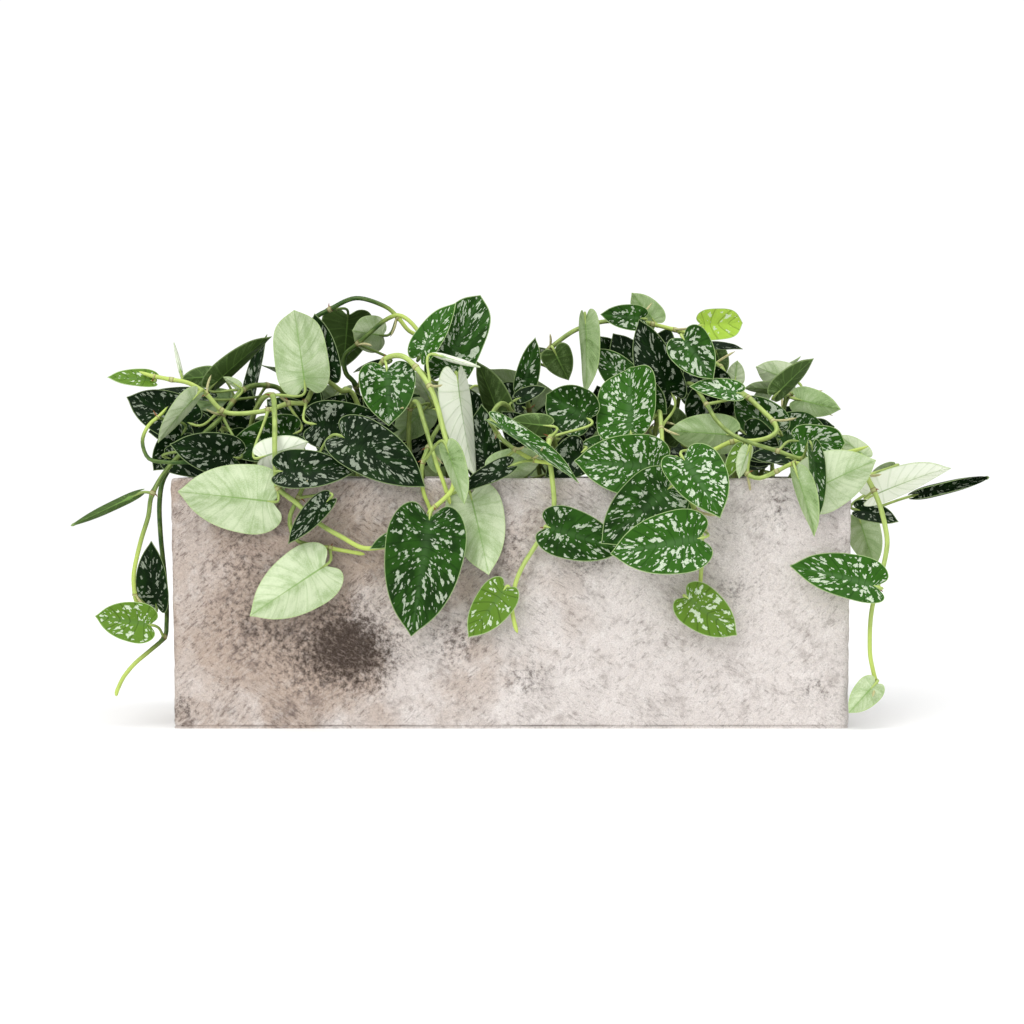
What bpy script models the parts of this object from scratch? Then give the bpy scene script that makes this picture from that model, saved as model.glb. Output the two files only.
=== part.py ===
"""A stone trough planted with satin pothos, in metres, +Z up.

The origin is the middle of the planter's underside. +X runs along the trough and -Y is its front.
Most stems and leaves are drawn on a front elevation in millimetres, each with its own depth.
Every stem and leaf then shifts in depth, a little at a time, until it hangs clear of the rest.
"""

import math
import random
from collections import namedtuple

import bpy
from mathutils import Matrix, Vector
from mathutils.bvhtree import BVHTree

MM = 0.001

# The planter and its filling, in mm
LENGTH = 603
DEPTH = 220
HEIGHT = 222
WALL = 15
FLOOR = 18
TAPER = 0.0085
CORNER = 6
CORNER_STEPS = 3
EDGE = 2.5
CHINE = 3.5
CHINE_CUT = 1.2
SOIL_TOP = 196
SOIL_GAP = 0.5

# Stems in the soil, in mm
ROOT_DEPTH = 26
COLLAR = 6
HOLE_CLEARANCE = 1.2
HOLE_BELOW = 2
HOLE_SIDES = 5

# The eye that the elevation is drawn from, and the plane of its sheet, in mm
EYE = Vector((0.9, -2610, 240))
SHEET_Y = -110

# Stems and leaf stalks, in mm
STEM_SIDES = 4
STEM_STEP = 22
STALK_RADIUS = 1.5
STALK_REACH = 14
STALK_STUB = 3

# A blade's points along its rib, its half outline, the faces between them with the rib's points
# numbered first, and the steps of its stalk. A point of the outline is a share of the length from
# the sinus and a share of the half width
Shape = namedtuple("Shape", "rib half faces stalk_steps")
FINE = Shape((0.24, 0.60, 1.0),
             ((0.01, 0.07), (-0.10, 0.36), (-0.03, 0.80), (0.20, 1.0), (0.54, 0.88), (0.81, 0.51)),
             ((3, 4, 5), (3, 5, 6), (3, 6, 0), (0, 6, 7), (0, 7, 1), (1, 7, 8), (1, 8, 2)), 2)
PLAIN = Shape((0.36, 1.0),
              ((0.01, 0.08), (-0.10, 0.48), (0.12, 1.0), (0.62, 0.80)),
              ((2, 3, 4), (2, 4, 0), (0, 4, 5), (0, 5, 1)), 1)
BLUNT = Shape(FINE.rib,
              ((0.01, 0.07), (-0.10, 0.36), (-0.03, 0.80), (0.20, 1.0), (0.62, 0.96), (0.90, 0.62)),
              FINE.faces, 2)
FINE_LENGTH = 54
BLADE_THICK = 0.9
BLADE_FOLD = math.radians(15)
BLADE_ARCH = 0.07

# Widths as shares of the length: a leaf drawn narrower than SLIM_BELOW is turned edge on, and one
# drawn broader than BROAD_ABOVE is leant towards or away from the eye. A blunt leaf has its tip curled
# under, or its sides rolled together, and keeps the width it is drawn with
SLIM_BELOW = 0.6
SLIM = 0.70
BROAD_ABOVE = 0.9
BROAD = 0.86

# How far a stem or a leaf may shift, in mm and degrees, and the room that it keeps
STEM_SHIFTS = (0, -5, 5, -10, 10, -16, 16, -24, 24, -32, 32)
SLIDES = (0, -4, 4, -8, 8, -12, 12, -17, 17, -23, 23, -30, 30, -38, 38)
TWISTS = (0, 14, -14, 28, -28)
LEANS = (0, -14, 14, -26, 26)
SLIDE_UNIT = 6
LEAN_UNIT = 10
TWIST_UNIT = 14
ROOM = 0.8

# Leaves that follow a rule along a stem: spacing, sizes and stalks in mm, and shares of each way
LEAF_SPACING = 31
LEAF_SIZES = (52, 82)
LEAF_WIDTHS = (0.70, 0.80)
STALK_REACHES = (10, 18)
STALK_LIFT = 8
SPREAD = (0.5, 0.9)
FORWARD = 0.3
RAISED = (0.2, 0.5)
DROOP = 0.5
FIRST_NODE = 3
SEED = 11

# The middle of the planting, in mm: half its length, half its depth and its height
CORE = (270, 60, 235)

TOP = 1
UNDER = -1

Drawn = namedtuple("Drawn", "base tip width depth face lean blunt")
Vine = namedtuple("Vine", "name root radius route leaves grown")
Blade = namedtuple("Blade", "base along normal length width form")


def leaf(bx, bz, tx, tz, width, depth, face=TOP, lean=0, blunt=False):
    """A leaf as drawn: sinus, tip and width on the sheet, depth, side that shows, and the tip's lean."""
    return Drawn((bx, bz), (tx, tz), width, depth, face, lean, blunt)


VINES = (
    Vine("vine_left_runner", (-175, 30), 2.4,
         ((-190, 262, 20), (-200, 296, -5), (-216, 304, -20), (-237, 300, -40), (-255, 277, -60),
          (-275, 258, -78), (-300, 235, -95), (-317, 209, -100), (-321, 188, -100), (-328, 165, -98),
          (-334, 137, -95), (-333, 118, -92)),
         (leaf(-330, 208, -389, 180, 9, -100, UNDER, 0, True),
          leaf(-314, 108, -321, 166, 30, -75),
          leaf(-264, 304, -215, 351, 20, -30, UNDER),
          leaf(-231, 288, -220, 350, 14, 6),
          leaf(-240, 303, -254, 312, 8, -44, UNDER),
          leaf(-304, 240, -262, 228, 28, -70),
          leaf(-270, 257, -300, 284, 36, -60),
          leaf(-243, 240, -300, 252, 40, -80),
          leaf(-266, 292, -322, 301, 18, -16)), 0),
    Vine("vine_left_arch", (-120, -10), 2.4,
         ((-128, 262, -20), (-140, 297, -30), (-150, 299, -34), (-165, 309, -42), (-175, 301, -50),
          (-182, 289, -56), (-197, 288, -60), (-215, 282, -62), (-240, 279, -64), (-256, 282, -66),
          (-270, 297, -68), (-285, 306, -66), (-300, 309, -64), (-316, 312, -62)),
         (leaf(-222, 240, -179, 254, 30, -106, UNDER),
          leaf(-316, 308, -357, 313, 17, -60),
          leaf(-283, 270, -340, 295, 44, -50),
          leaf(-278, 296, -315, 256, 17, -90, UNDER),
          leaf(-190, 262, -253, 245, 42, -82),
          leaf(-175, 270, -99, 265, 46, -85),
          leaf(-162, 310, -176, 367, 34, -46),
          leaf(-291, 312, -298, 342, 4, -60, UNDER, 0, True)), 0),
    Vine("vine_front_left", (-232, 0), 2.5,
         ((-230, 262, -20), (-222, 289, -45), (-211, 295, -75), (-209, 275, -98), (-209, 248, -113),
          (-208, 226, -120), (-206, 213, -122), (-190, 200, -125), (-170, 182, -127), (-150, 170, -128),
          (-130, 160, -128), (-108, 162, -128)),
         (leaf(-182, 303, -191, 370, 50, -60, UNDER, 0, True),
          leaf(-210, 201, -295, 211, 64, -122, UNDER),
          leaf(-85, 172, -125, 162, 16, -122)), 0),
    Vine("vine_front_loop", (-165, -45), 2.2,
         ((-168, 232, -78), (-175, 236, -102), (-181, 222, -116), (-188, 205, -118), (-195, 190, -118),
          (-195, 178, -118), (-188, 166, -118), (-160, 160, -118), (-138, 156, -118)),
         (leaf(-205, 228, -140, 229, 36, -114),
          leaf(-164, 145, -231, 101, 58, -126, UNDER),
          leaf(-161, 203, -199, 165, 16, -118),
          leaf(-150, 259, -75, 218, 50, -105)), 0),
    Vine("vine_high_arch", (-200, 50), 2.4,
         ((-196, 262, 42), (-186, 330, 18), (-176, 360, 4), (-160, 371, 0), (-137, 381, -4),
          (-112, 374, -6), (-100, 364, -8), (-90, 352, -10), (-76, 346, -12)),
         (leaf(-144, 366, -148, 322, 50, 24, UNDER),
          leaf(-113, 348, -143, 352, 36, 6, UNDER),
          leaf(-80, 330, -52, 379, 27, -66)), 0),
    Vine("vine_low_arch", (-120, 40), 2.4,
         ((-130, 270, 20), (-137, 303, 0), (-146, 315, -8), (-147, 330, -12), (-135, 341, -18),
          (-125, 350, -22), (-112, 361, -26), (-100, 366, -30), (-90, 361, -34), (-82, 352, -38)),
         (leaf(-110, 324, -140, 318, 7, -5),
          leaf(-172, 285, -200, 300, 34, 20),
          leaf(-118, 300, -96, 262, 38, -20)), 0),
    Vine("vine_centre_fall", (-110, -35), 2.6,
         ((-118, 262, -44), (-121, 305, -52), (-112, 326, -60), (-97, 330, -72), (-84, 320, -84),
          (-72, 303, -96), (-65, 285, -104), (-60, 265, -111), (-55, 248, -117), (-50, 236, -121),
          (-50, 225, -124), (-52, 212, -126), (-60, 203, -128), (-68, 196, -129)),
         (leaf(-110, 319, -107, 270, 53, -72, TOP, 18),
          leaf(-60, 312, -27, 384, 46, -52, TOP, 0, True),
          leaf(-70, 290, -86, 318, 16, -45, UNDER),
          leaf(-66, 331, -27, 320, 6, -68, UNDER, 0, True),
          leaf(-72, 188, -87, 81, 73, -130)), 0),
    Vine("vine_centre_left", (-85, -50), 2.3,
         ((-90, 250, -60), (-89, 284, -74), (-83, 289, -88), (-78, 275, -99), (-72, 255, -108),
          (-66, 235, -116), (-60, 219, -118), (-56, 207, -118)),
         (leaf(-75, 284, -103, 256, 34, -50, UNDER),
          leaf(-36, 208, -18, 137, 53, -120, UNDER)), 0),
    Vine("vine_centre_upright", (-45, -30), 2.2,
         ((-50, 250, -60), (-56, 273, -84), (-66, 264, -98), (-73, 249, -108), (-78, 236, -115),
          (-79, 220, -118), (-77, 208, -118), (-73, 198, -118)),
         (leaf(-48, 312, -38, 222, 29, -85, UNDER),
          leaf(-20, 226, -29, 288, 34, -76),
          leaf(-57, 250, -38, 200, 20, -112, UNDER),
          leaf(-70, 250, -66, 226, 16, -100, UNDER)), 0),
    Vine("vine_middle", (0, -20), 2.3,
         ((2, 250, -30), (0, 280, -42), (-9, 288, -58), (-17, 276, -76), (-12, 261, -90), (4, 247, -100),
          (20, 238, -108), (30, 236, -114)),
         (leaf(-8, 272, -28, 326, 28, -12, UNDER),
          leaf(6, 292, 31, 303, 14, -8),
          leaf(-14, 271, 64, 224, 15, -116),
          leaf(-16, 228, 30, 243, 32, -104, UNDER),
          leaf(0, 233, -46, 212, 18, -118)), 0),
    Vine("vine_middle_fall", (45, -30), 2.4,
         ((40, 246, -56), (36, 258, -76), (34, 256, -94), (33, 245, -107), (36, 225, -116),
          (38, 196, -119), (31, 177, -119), (21, 161, -119), (12, 147, -119), (5, 132, -120),
          (2, 118, -120), (1, 105, -120), (3, 94, -120)),
         (leaf(69, 274, 29, 298, 47, -60),
          leaf(32, 179, 100, 158, 47, -124),
          leaf(-5, 125, -37, 80, 36, -122),
          leaf(64, 246, 32, 224, 38, -84),
          leaf(90, 252, 58, 250, 18, -74),
          leaf(34, 268, -2, 272, 22, -56, UNDER)), 0),
    Vine("vine_right_crest", (30, 30), 2.3,
         ((20, 262, 22), (14, 300, 8), (22, 324, 0), (35, 337, 0), (52, 350, 0), (65, 356, -2),
          (80, 360, -4), (95, 361, -6), (110, 361, -8), (125, 358, -8), (145, 353, -8), (163, 348, -8)),
         (leaf(10, 300, 23, 346, 16, -20),
          leaf(30, 262, -8, 274, 28, -16),
          leaf(12, 284, -17, 304, 34, 30),
          leaf(38, 335, 50, 310, 30, -16, UNDER),
          leaf(38, 322, 25, 338, 14, 16),
          leaf(66, 364, 71, 296, 20, -14, UNDER),
          leaf(117, 363, 79, 367, 25, -20),
          leaf(128, 359, 107, 386, 28, 6, UNDER),
          leaf(168, 357, 205, 360, 30, -6, TOP, 0, True),
          leaf(174, 338, 205, 339, 8, 12)), 0),
    Vine("vine_right_fall", (150, -55), 2.3,
         ((148, 232, -80), (146, 240, -103), (150, 230, -121), (157, 208, -130), (163, 193, -130),
          (168, 178, -126), (169, 155, -120), (168, 135, -119), (166, 120, -119), (158, 111, -119)),
         (leaf(141, 214, 80, 164, 58, -144),
          leaf(168, 169, 88, 156, 58, -150),
          leaf(158, 190, 112, 184, 22, -118),
          leaf(155, 117, 200, 82, 42, -126)), 0),
    Vine("vine_right_loop", (165, 20), 2.5,
         ((172, 262, 10), (178, 300, 0), (178, 322, -8), (185, 320, -18), (190, 312, -26),
          (196, 304, -32), (210, 293, -46), (222, 282, -58), (232, 272, -69), (235, 264, -77),
          (228, 258, -83), (215, 255, -87), (195, 254, -91), (178, 246, -95)),
         (leaf(152, 346, 178, 311, 42, -52),
          leaf(180, 336, 190, 314, 20, 24, UNDER),
          leaf(186, 294, 152, 322, 42, -30),
          leaf(174, 298, 156, 272, 28, -50),
          leaf(196, 260, 138, 265, 38, -70, UNDER),
          leaf(150, 255, 138, 289, 30, -30, UNDER),
          leaf(198, 306, 200, 326, 18, 0, UNDER),
          leaf(236, 262, 197, 294, 42, -54),
          leaf(152, 240, 187, 191, 58, -118)), 0),
    Vine("vine_heart", (118, -20), 2.3,
         ((126, 255, -44), (131, 280, -72), (133, 266, -95), (134, 250, -107), (136, 239, -113)),
         (leaf(106, 262, 103, 323, 64, -76, TOP, 0, True),
          leaf(114, 300, 137, 280, 30, -45),
          leaf(106, 304, 74, 336, 32, -46),
          leaf(143, 295, 108, 361, 47, -44),
          leaf(132, 232, 56, 236, 58, -116)), 0),
    Vine("vine_right_runner", (135, 10), 2.1,
         ((143, 262, 0), (150, 298, -36), (160, 305, -60), (173, 287, -80), (182, 273, -92),
          (195, 261, -101), (210, 254, -107), (236, 246, -113), (258, 239, -115), (280, 242, -113),
          (302, 246, -110)),
         (leaf(266, 249, 275, 182, 15, -142),
          leaf(202, 297, 158, 305, 20, -66),
          leaf(252, 255, 296, 252, 32, -104, TOP, 0, True)), 0),
    Vine("vine_right_corner", (200, -58), 2.2,
         ((199, 232, -84), (203, 238, -104), (209, 226, -115), (220, 222, -119), (235, 228, -119),
          (250, 235, -120), (262, 233, -121)),
         (leaf(262, 209, 321, 240, 56, -121, UNDER),
          leaf(253, 227, 272, 172, 19, -128, UNDER),
          leaf(206, 250, 190, 223, 15, -96),
          leaf(210, 248, 200, 222, 13, -104, UNDER),
          leaf(246, 240, 211, 243, 16, -90)), 0),
    Vine("vine_right_hanging", (255, -25), 2.4,
         ((264, 246, -42), (285, 248, -60), (303, 238, -80), (314, 224, -92), (321, 211, -98),
          (327, 196, -101), (331, 180, -103), (333, 165, -104), (331, 150, -105), (328, 138, -106),
          (324, 124, -107), (320, 108, -108), (318, 90, -109), (318, 67, -110), (320, 55, -110),
          (323, 42, -110)),
         (leaf(314, 240, 290, 260, 20, -78, UNDER),
          leaf(318, 206, 386, 236, 28, -72, UNDER),
          leaf(338, 233, 318, 228, 9, -56, UNDER),
          leaf(324, 126, 248, 147, 42, -127),
          leaf(323, 40, 299, 14, 26, -120, UNDER)), 0),
    Vine("vine_right_side", (270, 25), 2.3,
         ((280, 244, 20), (296, 244, 16), (311, 230, 12), (319, 212, 8), (321, 195, 6), (318, 172, 6),
          (313, 154, 10)),
         (leaf(358, 207, 424, 223, 12, -4, TOP, 0, True),
          leaf(306, 194, 344, 186, 20, -28),
          leaf(308, 187, 322, 143, 34, 4, UNDER),
          leaf(308, 152, 312, 136, 12, 22)), 0),
    Vine("vine_right_crown", (225, 30), 2.3,
         ((232, 256, 20), (240, 280, 10), (246, 295, 4), (258, 297, 8), (265, 288, 16), (266, 274, 24)),
         (leaf(236, 256, 281, 268, 46, -30),
          leaf(250, 308, 216, 320, 30, 26, UNDER),
          leaf(234, 296, 266, 329, 20, -18, UNDER),
          leaf(252, 292, 291, 282, 28, -16, UNDER),
          leaf(236, 300, 206, 304, 13, -2, UNDER)), 0),
    Vine("vine_left_hanging", (-262, -30), 2.3,
         ((-276, 244, -40), (-294, 238, -44), (-307, 222, -48), (-311, 200, -50), (-310, 170, -50),
          (-307, 140, -52), (-305, 112, -62), (-305, 93, -76), (-307, 81, -88), (-320, 69, -94),
          (-333, 58, -96), (-343, 46, -97), (-348, 36, -97)),
         (leaf(-319, 92, -369, 100, 38, -102),), 0),
    Vine("vine_back_far_left", (-240, 55), 2.3,
         ((-238, 236, 64), (-236, 276, 88), (-238, 284, 112), (-242, 262, 132), (-246, 218, 140),
          (-246, 172, 142), (-242, 130, 140)), (leaf(-262, 312, -292, 310, 22, 60, UNDER),), 7),
    Vine("vine_back_left", (-165, 70), 2.3,
         ((-160, 250, 76), (-150, 296, 92), (-142, 296, 118), (-136, 258, 138), (-136, 216, 142),
          (-140, 176, 142)), (leaf(-156, 240, -150, 262, 44, 44),), 6),
    Vine("vine_back_centre_left", (-60, 62), 2.3,
         ((-54, 256, 70), (-44, 298, 90), (-40, 284, 120), (-42, 246, 139), (-48, 200, 143),
          (-52, 150, 142), (-50, 112, 140)), (leaf(-62, 242, -66, 264, 44, 40),), 7),
    Vine("vine_back_centre", (32, 72), 2.3,
         ((36, 246, 80), (44, 272, 98), (50, 266, 122), (54, 238, 139), (58, 200, 143), (64, 166, 142)),
         (leaf(24, 240, 18, 262, 44, 48),), 5),
    Vine("vine_back_centre_right", (112, 62), 2.3,
         ((116, 256, 70), (126, 300, 88), (136, 296, 114), (140, 262, 136), (143, 222, 143),
          (142, 180, 143), (136, 142, 141)), (), 7),
    Vine("vine_back_right", (205, 62), 2.3,
         ((210, 250, 70), (218, 276, 88), (226, 272, 114), (230, 246, 136), (232, 206, 142),
          (230, 168, 142)), (leaf(214, 238, 222, 260, 44, 44),), 5),
    Vine("vine_left_loop", (-238, -64), 2.0,
         ((-246, 236, -84), (-262, 237, -98), (-284, 236, -106), (-303, 236, -108), (-320, 239, -108),
          (-326, 254, -106), (-321, 268, -100), (-312, 276, -92)),
         (leaf(-290, 262, -316, 228, 34, -78),), 0),
    Vine("vine_left_end", (-262, 34), 2.2,
         ((-264, 238, 30), (-276, 252, 22), (-290, 254, 14), (-300, 244, 8)),
         (leaf(-284, 270, -321, 262, 34, 8),
          leaf(-270, 250, -240, 276, 36, 4),
          leaf(-296, 262, -312, 286, 28, 22),
          leaf(-280, 232, -288, 250, 40, 40)), 0),
    Vine("vine_crown_far_left", (-222, -30), 2.2,
         ((-226, 238, -26), (-238, 258, -20), (-256, 266, -14), (-276, 264, -10), (-296, 258, -8)),
         (leaf(-262, 262, -306, 274, 36, -40),
          leaf(-248, 264, -230, 300, 36, -26),
          leaf(-232, 252, -270, 236, 38, -52),
          leaf(-286, 256, -318, 240, 32, -34),
          leaf(-252, 236, -258, 256, 44, -2)), 0),
    Vine("vine_crown_inner_left", (-186, 14), 2.2,
         ((-190, 240, 10), (-196, 262, 0), (-192, 274, -14), (-182, 272, -26)),
         (leaf(-180, 262, -216, 292, 42, -16),
          leaf(-196, 268, -168, 300, 38, -8),
          leaf(-206, 248, -244, 268, 40, 0),
          leaf(-170, 262, -146, 296, 36, -6),
          leaf(-204, 234, -208, 254, 46, 24)), 0),
    Vine("vine_crown_left", (-80, 16), 2.2,
         ((-80, 240, 14), (-84, 266, 8), (-98, 284, 4), (-118, 290, 2)),
         (leaf(-128, 264, -150, 300, 38, 4),
          leaf(-104, 268, -74, 296, 38, -10),
          leaf(-92, 254, -126, 240, 38, -34),
          leaf(-110, 234, -116, 256, 46, 22)), 0),
    Vine("vine_crown_centre_left", (-30, 25), 2.2,
         ((-30, 244, 20), (-34, 268, 10), (-44, 280, 0), (-62, 282, -10)),
         (leaf(-62, 268, -88, 230, 36, -46),
          leaf(-52, 272, -80, 304, 30, -4),
          leaf(-40, 262, -62, 232, 34, -30),
          leaf(-26, 260, -40, 304, 32, 8),
          leaf(-14, 232, -10, 252, 44, 30)), 0),
    Vine("vine_crown_centre", (12, 8), 2.2,
         ((14, 236, 2), (20, 250, -6), (36, 256, -14), (54, 254, -22)),
         (leaf(22, 248, -8, 280, 36, -34),
          leaf(52, 262, 78, 288, 36, -20),
          leaf(66, 252, 34, 230, 36, -44),
          leaf(26, 262, 54, 292, 34, 0),
          leaf(40, 232, 44, 252, 44, 20)), 0),
    Vine("vine_crown_centre_right", (85, 22), 2.2,
         ((86, 244, 18), (88, 276, 10), (98, 298, 8), (112, 306, 10), (124, 304, 14)),
         (leaf(114, 312, 90, 350, 36, -8),
          leaf(90, 268, 76, 304, 34, -8),
          leaf(126, 318, 140, 356, 30, 0),
          leaf(96, 322, 78, 348, 26, 14),
          leaf(96, 234, 102, 256, 46, 34)), 0),
    Vine("vine_crown_right", (192, -18), 2.2,
         ((194, 238, -18), (200, 254, -14), (216, 258, -10), (234, 250, -8)),
         (leaf(206, 262, 238, 238, 38, -62),
          leaf(196, 276, 162, 292, 36, -26),
          leaf(230, 250, 200, 238, 32, -74),
          leaf(236, 250, 270, 242, 34, -12),
          leaf(206, 232, 212, 252, 44, 10)), 0),
    Vine("vine_crown_inner_right", (158, 62), 2.2,
         ((160, 244, 58), (164, 280, 40), (170, 302, 26), (166, 318, 14), (156, 326, 8)),
         (leaf(172, 308, 154, 346, 36, 12),
          leaf(176, 292, 146, 306, 34, 30),
          leaf(156, 234, 150, 256, 44, 50)), 0),
    Vine("vine_crown_far_right", (252, 52), 2.2,
         ((256, 238, 48), (264, 248, 42), (278, 250, 36), (290, 244, 30)),
         (leaf(262, 256, 288, 268, 32, 20),
          leaf(284, 246, 312, 236, 28, 10),
          leaf(256, 262, 238, 286, 30, 30),
          leaf(262, 232, 266, 250, 42, 34)), 0),
)


def on_sheet(x, z, depth):
    """The point at a depth that the eye sees at (x, z) on the sheet, in mm."""
    return EYE + (Vector((x, SHEET_Y, z)) - EYE) * ((depth - EYE.y) / (SHEET_Y - EYE.y))


def smooth_path(points, step):
    """Points about a step apart along one smooth curve through all the given points."""
    path = [points[0]]
    for i in range(len(points) - 1):
        before = points[max(i - 1, 0)]
        here = points[i]
        there = points[i + 1]
        after = points[min(i + 2, len(points) - 1)]
        count = max(1, round((there - here).length / step))
        for k in range(1, count + 1):
            t = k / count
            path.append(0.5 * (2 * here + (there - before) * t
                               + (2 * before - 5 * here + 4 * there - after) * t ** 2
                               + (3 * here - before - 3 * there + after) * t ** 3))
    return path


def rings(path, radius, sides, across):
    """Rings of corners round a path, each turned as little as it can be from the one before."""
    corners = []
    for i, point in enumerate(path):
        ahead = (path[min(i + 1, len(path) - 1)] - path[max(i - 1, 0)]).normalized()
        across = (across - ahead * across.dot(ahead)).normalized()
        other = ahead.cross(across)
        for k in range(sides):
            angle = 2 * math.pi * k / sides
            corners.append(point + radius * (math.cos(angle) * across + math.sin(angle) * other))
    return corners


def ring_faces(count, sides):
    """Faces between a number of rings, closed at the first ring."""
    faces = [(0, k + 1, k) for k in range(1, sides - 1)]
    for i in range(count - 1):
        for k in range(sides):
            a = i * sides + k
            b = i * sides + (k + 1) % sides
            faces.append((a, b, b + sides))
            faces.append((a, b + sides, a + sides))
    return faces


def tube(path, radius, sides):
    """Corners and faces of a closed tube round a path."""
    verts = rings(path, radius, sides, (path[1] - path[0]).orthogonal())
    faces = ring_faces(len(path), sides)
    last = len(verts) - sides
    faces += [(last, last + k, last + k + 1) for k in range(1, sides - 1)]
    return verts, faces


def blade_point(blade, u, v):
    """A point of the blade's middle surface: u along it from the sinus, v across it from -1 to 1."""
    side = blade.along.cross(blade.normal)
    half = abs(v) * blade.width / 2
    rise = half * math.sin(BLADE_FOLD) - BLADE_ARCH * blade.length * u * u
    reach = math.copysign(half * math.cos(BLADE_FOLD), v)
    return blade.base + blade.along * (u * blade.length) + side * reach + blade.normal * rise


def leaf_solid(stalk, blade, stalk_radius, thick):
    """Corners and faces of a leaf: a heart-shaped blade folded along its rib, and its stalk."""
    form = blade.form
    shape = [(u, 0) for u in form.rib]
    shape += list(form.half)
    shape += [(u, -v) for u, v in form.half]
    verts = [blade_point(blade, u, v) + blade.normal * (thick / 2) for u, v in shape]
    verts += [corner - blade.normal * thick for corner in verts]
    ribs = len(form.rib)
    sides = len(form.half)
    neck = ribs + sides
    top = [*form.faces, (ribs, 0, neck)]
    for face in form.faces:
        a, b, c = (k + sides if k >= ribs else k for k in face)
        top.append((a, c, b))
    count = len(shape)
    faces = top + [(a + count, c + count, b + count) for a, b, c in top]
    rim = [*range(ribs, neck), ribs - 1, *reversed(range(neck, count))]
    for a, b in zip(rim, rim[1:]):
        faces.append((a, a + count, b + count))
        faces.append((a, b + count, b))
    first = len(verts)
    last = first + 3 * (len(stalk) - 1)
    verts += reversed(rings(stalk[::-1], stalk_radius, 3, blade.normal))
    faces += [tuple(first + k for k in face) for face in ring_faces(len(stalk), 3)]
    quad = (ribs, ribs + count, neck + count, neck)
    near = (last + 2, last, last + 1)
    faces.append((near[0], near[1], quad[0]))
    faces.append((near[1], quad[1], quad[0]))
    faces.append((near[1], quad[2], quad[1]))
    faces.append((near[1], near[2], quad[2]))
    faces.append((near[2], quad[3], quad[2]))
    faces.append((near[2], near[0], quad[3]))
    faces.append((near[0], quad[0], quad[3]))
    return verts, faces


def nearest_node(nodes, point):
    """The node of a stem that is nearest to a given point."""
    return min(nodes, key=lambda node: (node - point).length)


def stalk_path(node, blade):
    """The path of a leaf stalk, from its node on the stem to just short of the blade's sinus."""
    end = blade.base - blade.along * STALK_RADIUS
    span = (end - node).length
    leave = node + (end - node) * 0.35
    arrive = end - blade.along * min(STALK_REACH, span * 0.45)
    path = []
    for k in range(blade.form.stalk_steps + 1):
        t = k / blade.form.stalk_steps
        s = 1 - t
        path.append(s ** 3 * node + 3 * s * s * t * leave + 3 * s * t * t * arrive + t ** 3 * end)
    return path


def upright(along, normal, x):
    """How much a blade's top side faces up, or else outwards along the trough."""
    return normal.z + 0.3 * normal.x * math.copysign(1, x)


def drawn_blade(row, slide, lean, twist):
    """The blade of a drawn leaf, moved in depth, with its tip leant away and its face twisted."""
    seen = math.dist(row.base, row.tip)
    natural = 0
    width = row.width
    turn = 0
    if width > BROAD_ABOVE * seen:
        up = math.copysign(1, row.tip[1] - row.base[1])
        natural = up * row.face * math.sqrt((width / BROAD) ** 2 - seen ** 2)
    elif width < SLIM_BELOW * seen and not row.blunt:
        width = (width + SLIM * seen) / 2
        turn = math.acos(row.width / width)
    base = on_sheet(*row.base, row.depth + slide)
    tip = on_sheet(*row.tip, row.depth + slide + natural + row.lean + lean)
    along = (tip - base).normalized()
    sight = EYE - base
    facing = (sight - along * sight.dot(along)).normalized() * row.face
    sides = [Matrix.Rotation(angle, 3, along) @ facing for angle in (turn, -turn)]
    normal = max(sides, key=lambda side: upright(along, side, base.x))
    normal = Matrix.Rotation(math.radians(twist), 3, along) @ normal
    form = BLUNT if row.blunt else FINE if seen > FINE_LENGTH else PLAIN
    return Blade(base, along, normal, (tip - base).length, width, form)


def outward(point):
    """The way out of the planting at a point: up over the trough, and sideways past its walls."""
    half_x, half_y, top = CORE
    near_x = max(-half_x, min(half_x, point.x))
    near_y = max(-half_y, min(half_y, point.y))
    inside = Vector((near_x, near_y, min(top, point.z)))
    return (point - inside).normalized()


def grown_blade(seedling, slide, lean, twist):
    """The blade of a leaf that grew by rule, moved outwards, leant and twisted."""
    base, along, normal, length, width, form = seedling
    out = outward(base)
    base = base + out * slide
    tip = base + along * length + out * lean
    along = (tip - base).normalized()
    normal = (normal - along * normal.dot(along)).normalized()
    normal = Matrix.Rotation(math.radians(twist), 3, along) @ normal
    return Blade(base, along, normal, (tip - base).length, width, form)


def seedlings(vine, path, rng):
    """Leaves that grow by rule to either side of a stem, every LEAF_SPACING."""
    grown = []
    for i in range(vine.grown):
        k = min(len(path) - 1, FIRST_NODE + round(i * LEAF_SPACING / STEM_STEP))
        ahead = (path[min(k + 1, len(path) - 1)] - path[k - 1]).normalized()
        out = outward(path[k])
        side = ahead.cross(out).normalized() * (1 if i % 2 else -1)
        length = rng.uniform(*LEAF_SIZES)
        along = side * rng.uniform(*SPREAD) + ahead * FORWARD + out * rng.uniform(*RAISED)
        along = (along - Vector((0, 0, DROOP))).normalized()
        normal = out + Vector((rng.uniform(-0.3, 0.3), rng.uniform(-0.7, -0.1), rng.uniform(0.1, 0.5)))
        normal = (normal - along * normal.dot(along)).normalized()
        base = path[k] + side * rng.uniform(*STALK_REACHES) + out * STALK_LIFT
        grown.append(Blade(base, along, normal, length, length * rng.uniform(*LEAF_WIDTHS), PLAIN))
    return grown


def stem_path(vine, shift):
    """A stem's path: straight up out of the soil, then along its route, shifted in depth."""
    x, y = vine.root
    root = Vector((x, y, SOIL_TOP - ROOT_DEPTH))
    collar = Vector((x, y, SOIL_TOP + COLLAR))
    route = [collar]
    for i, (sheet_x, sheet_z, depth) in enumerate(vine.route):
        route.append(on_sheet(sheet_x, sheet_z, depth + shift * min(1, i / 2)))
    return [root] + smooth_path(route, STEM_STEP)


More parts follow.
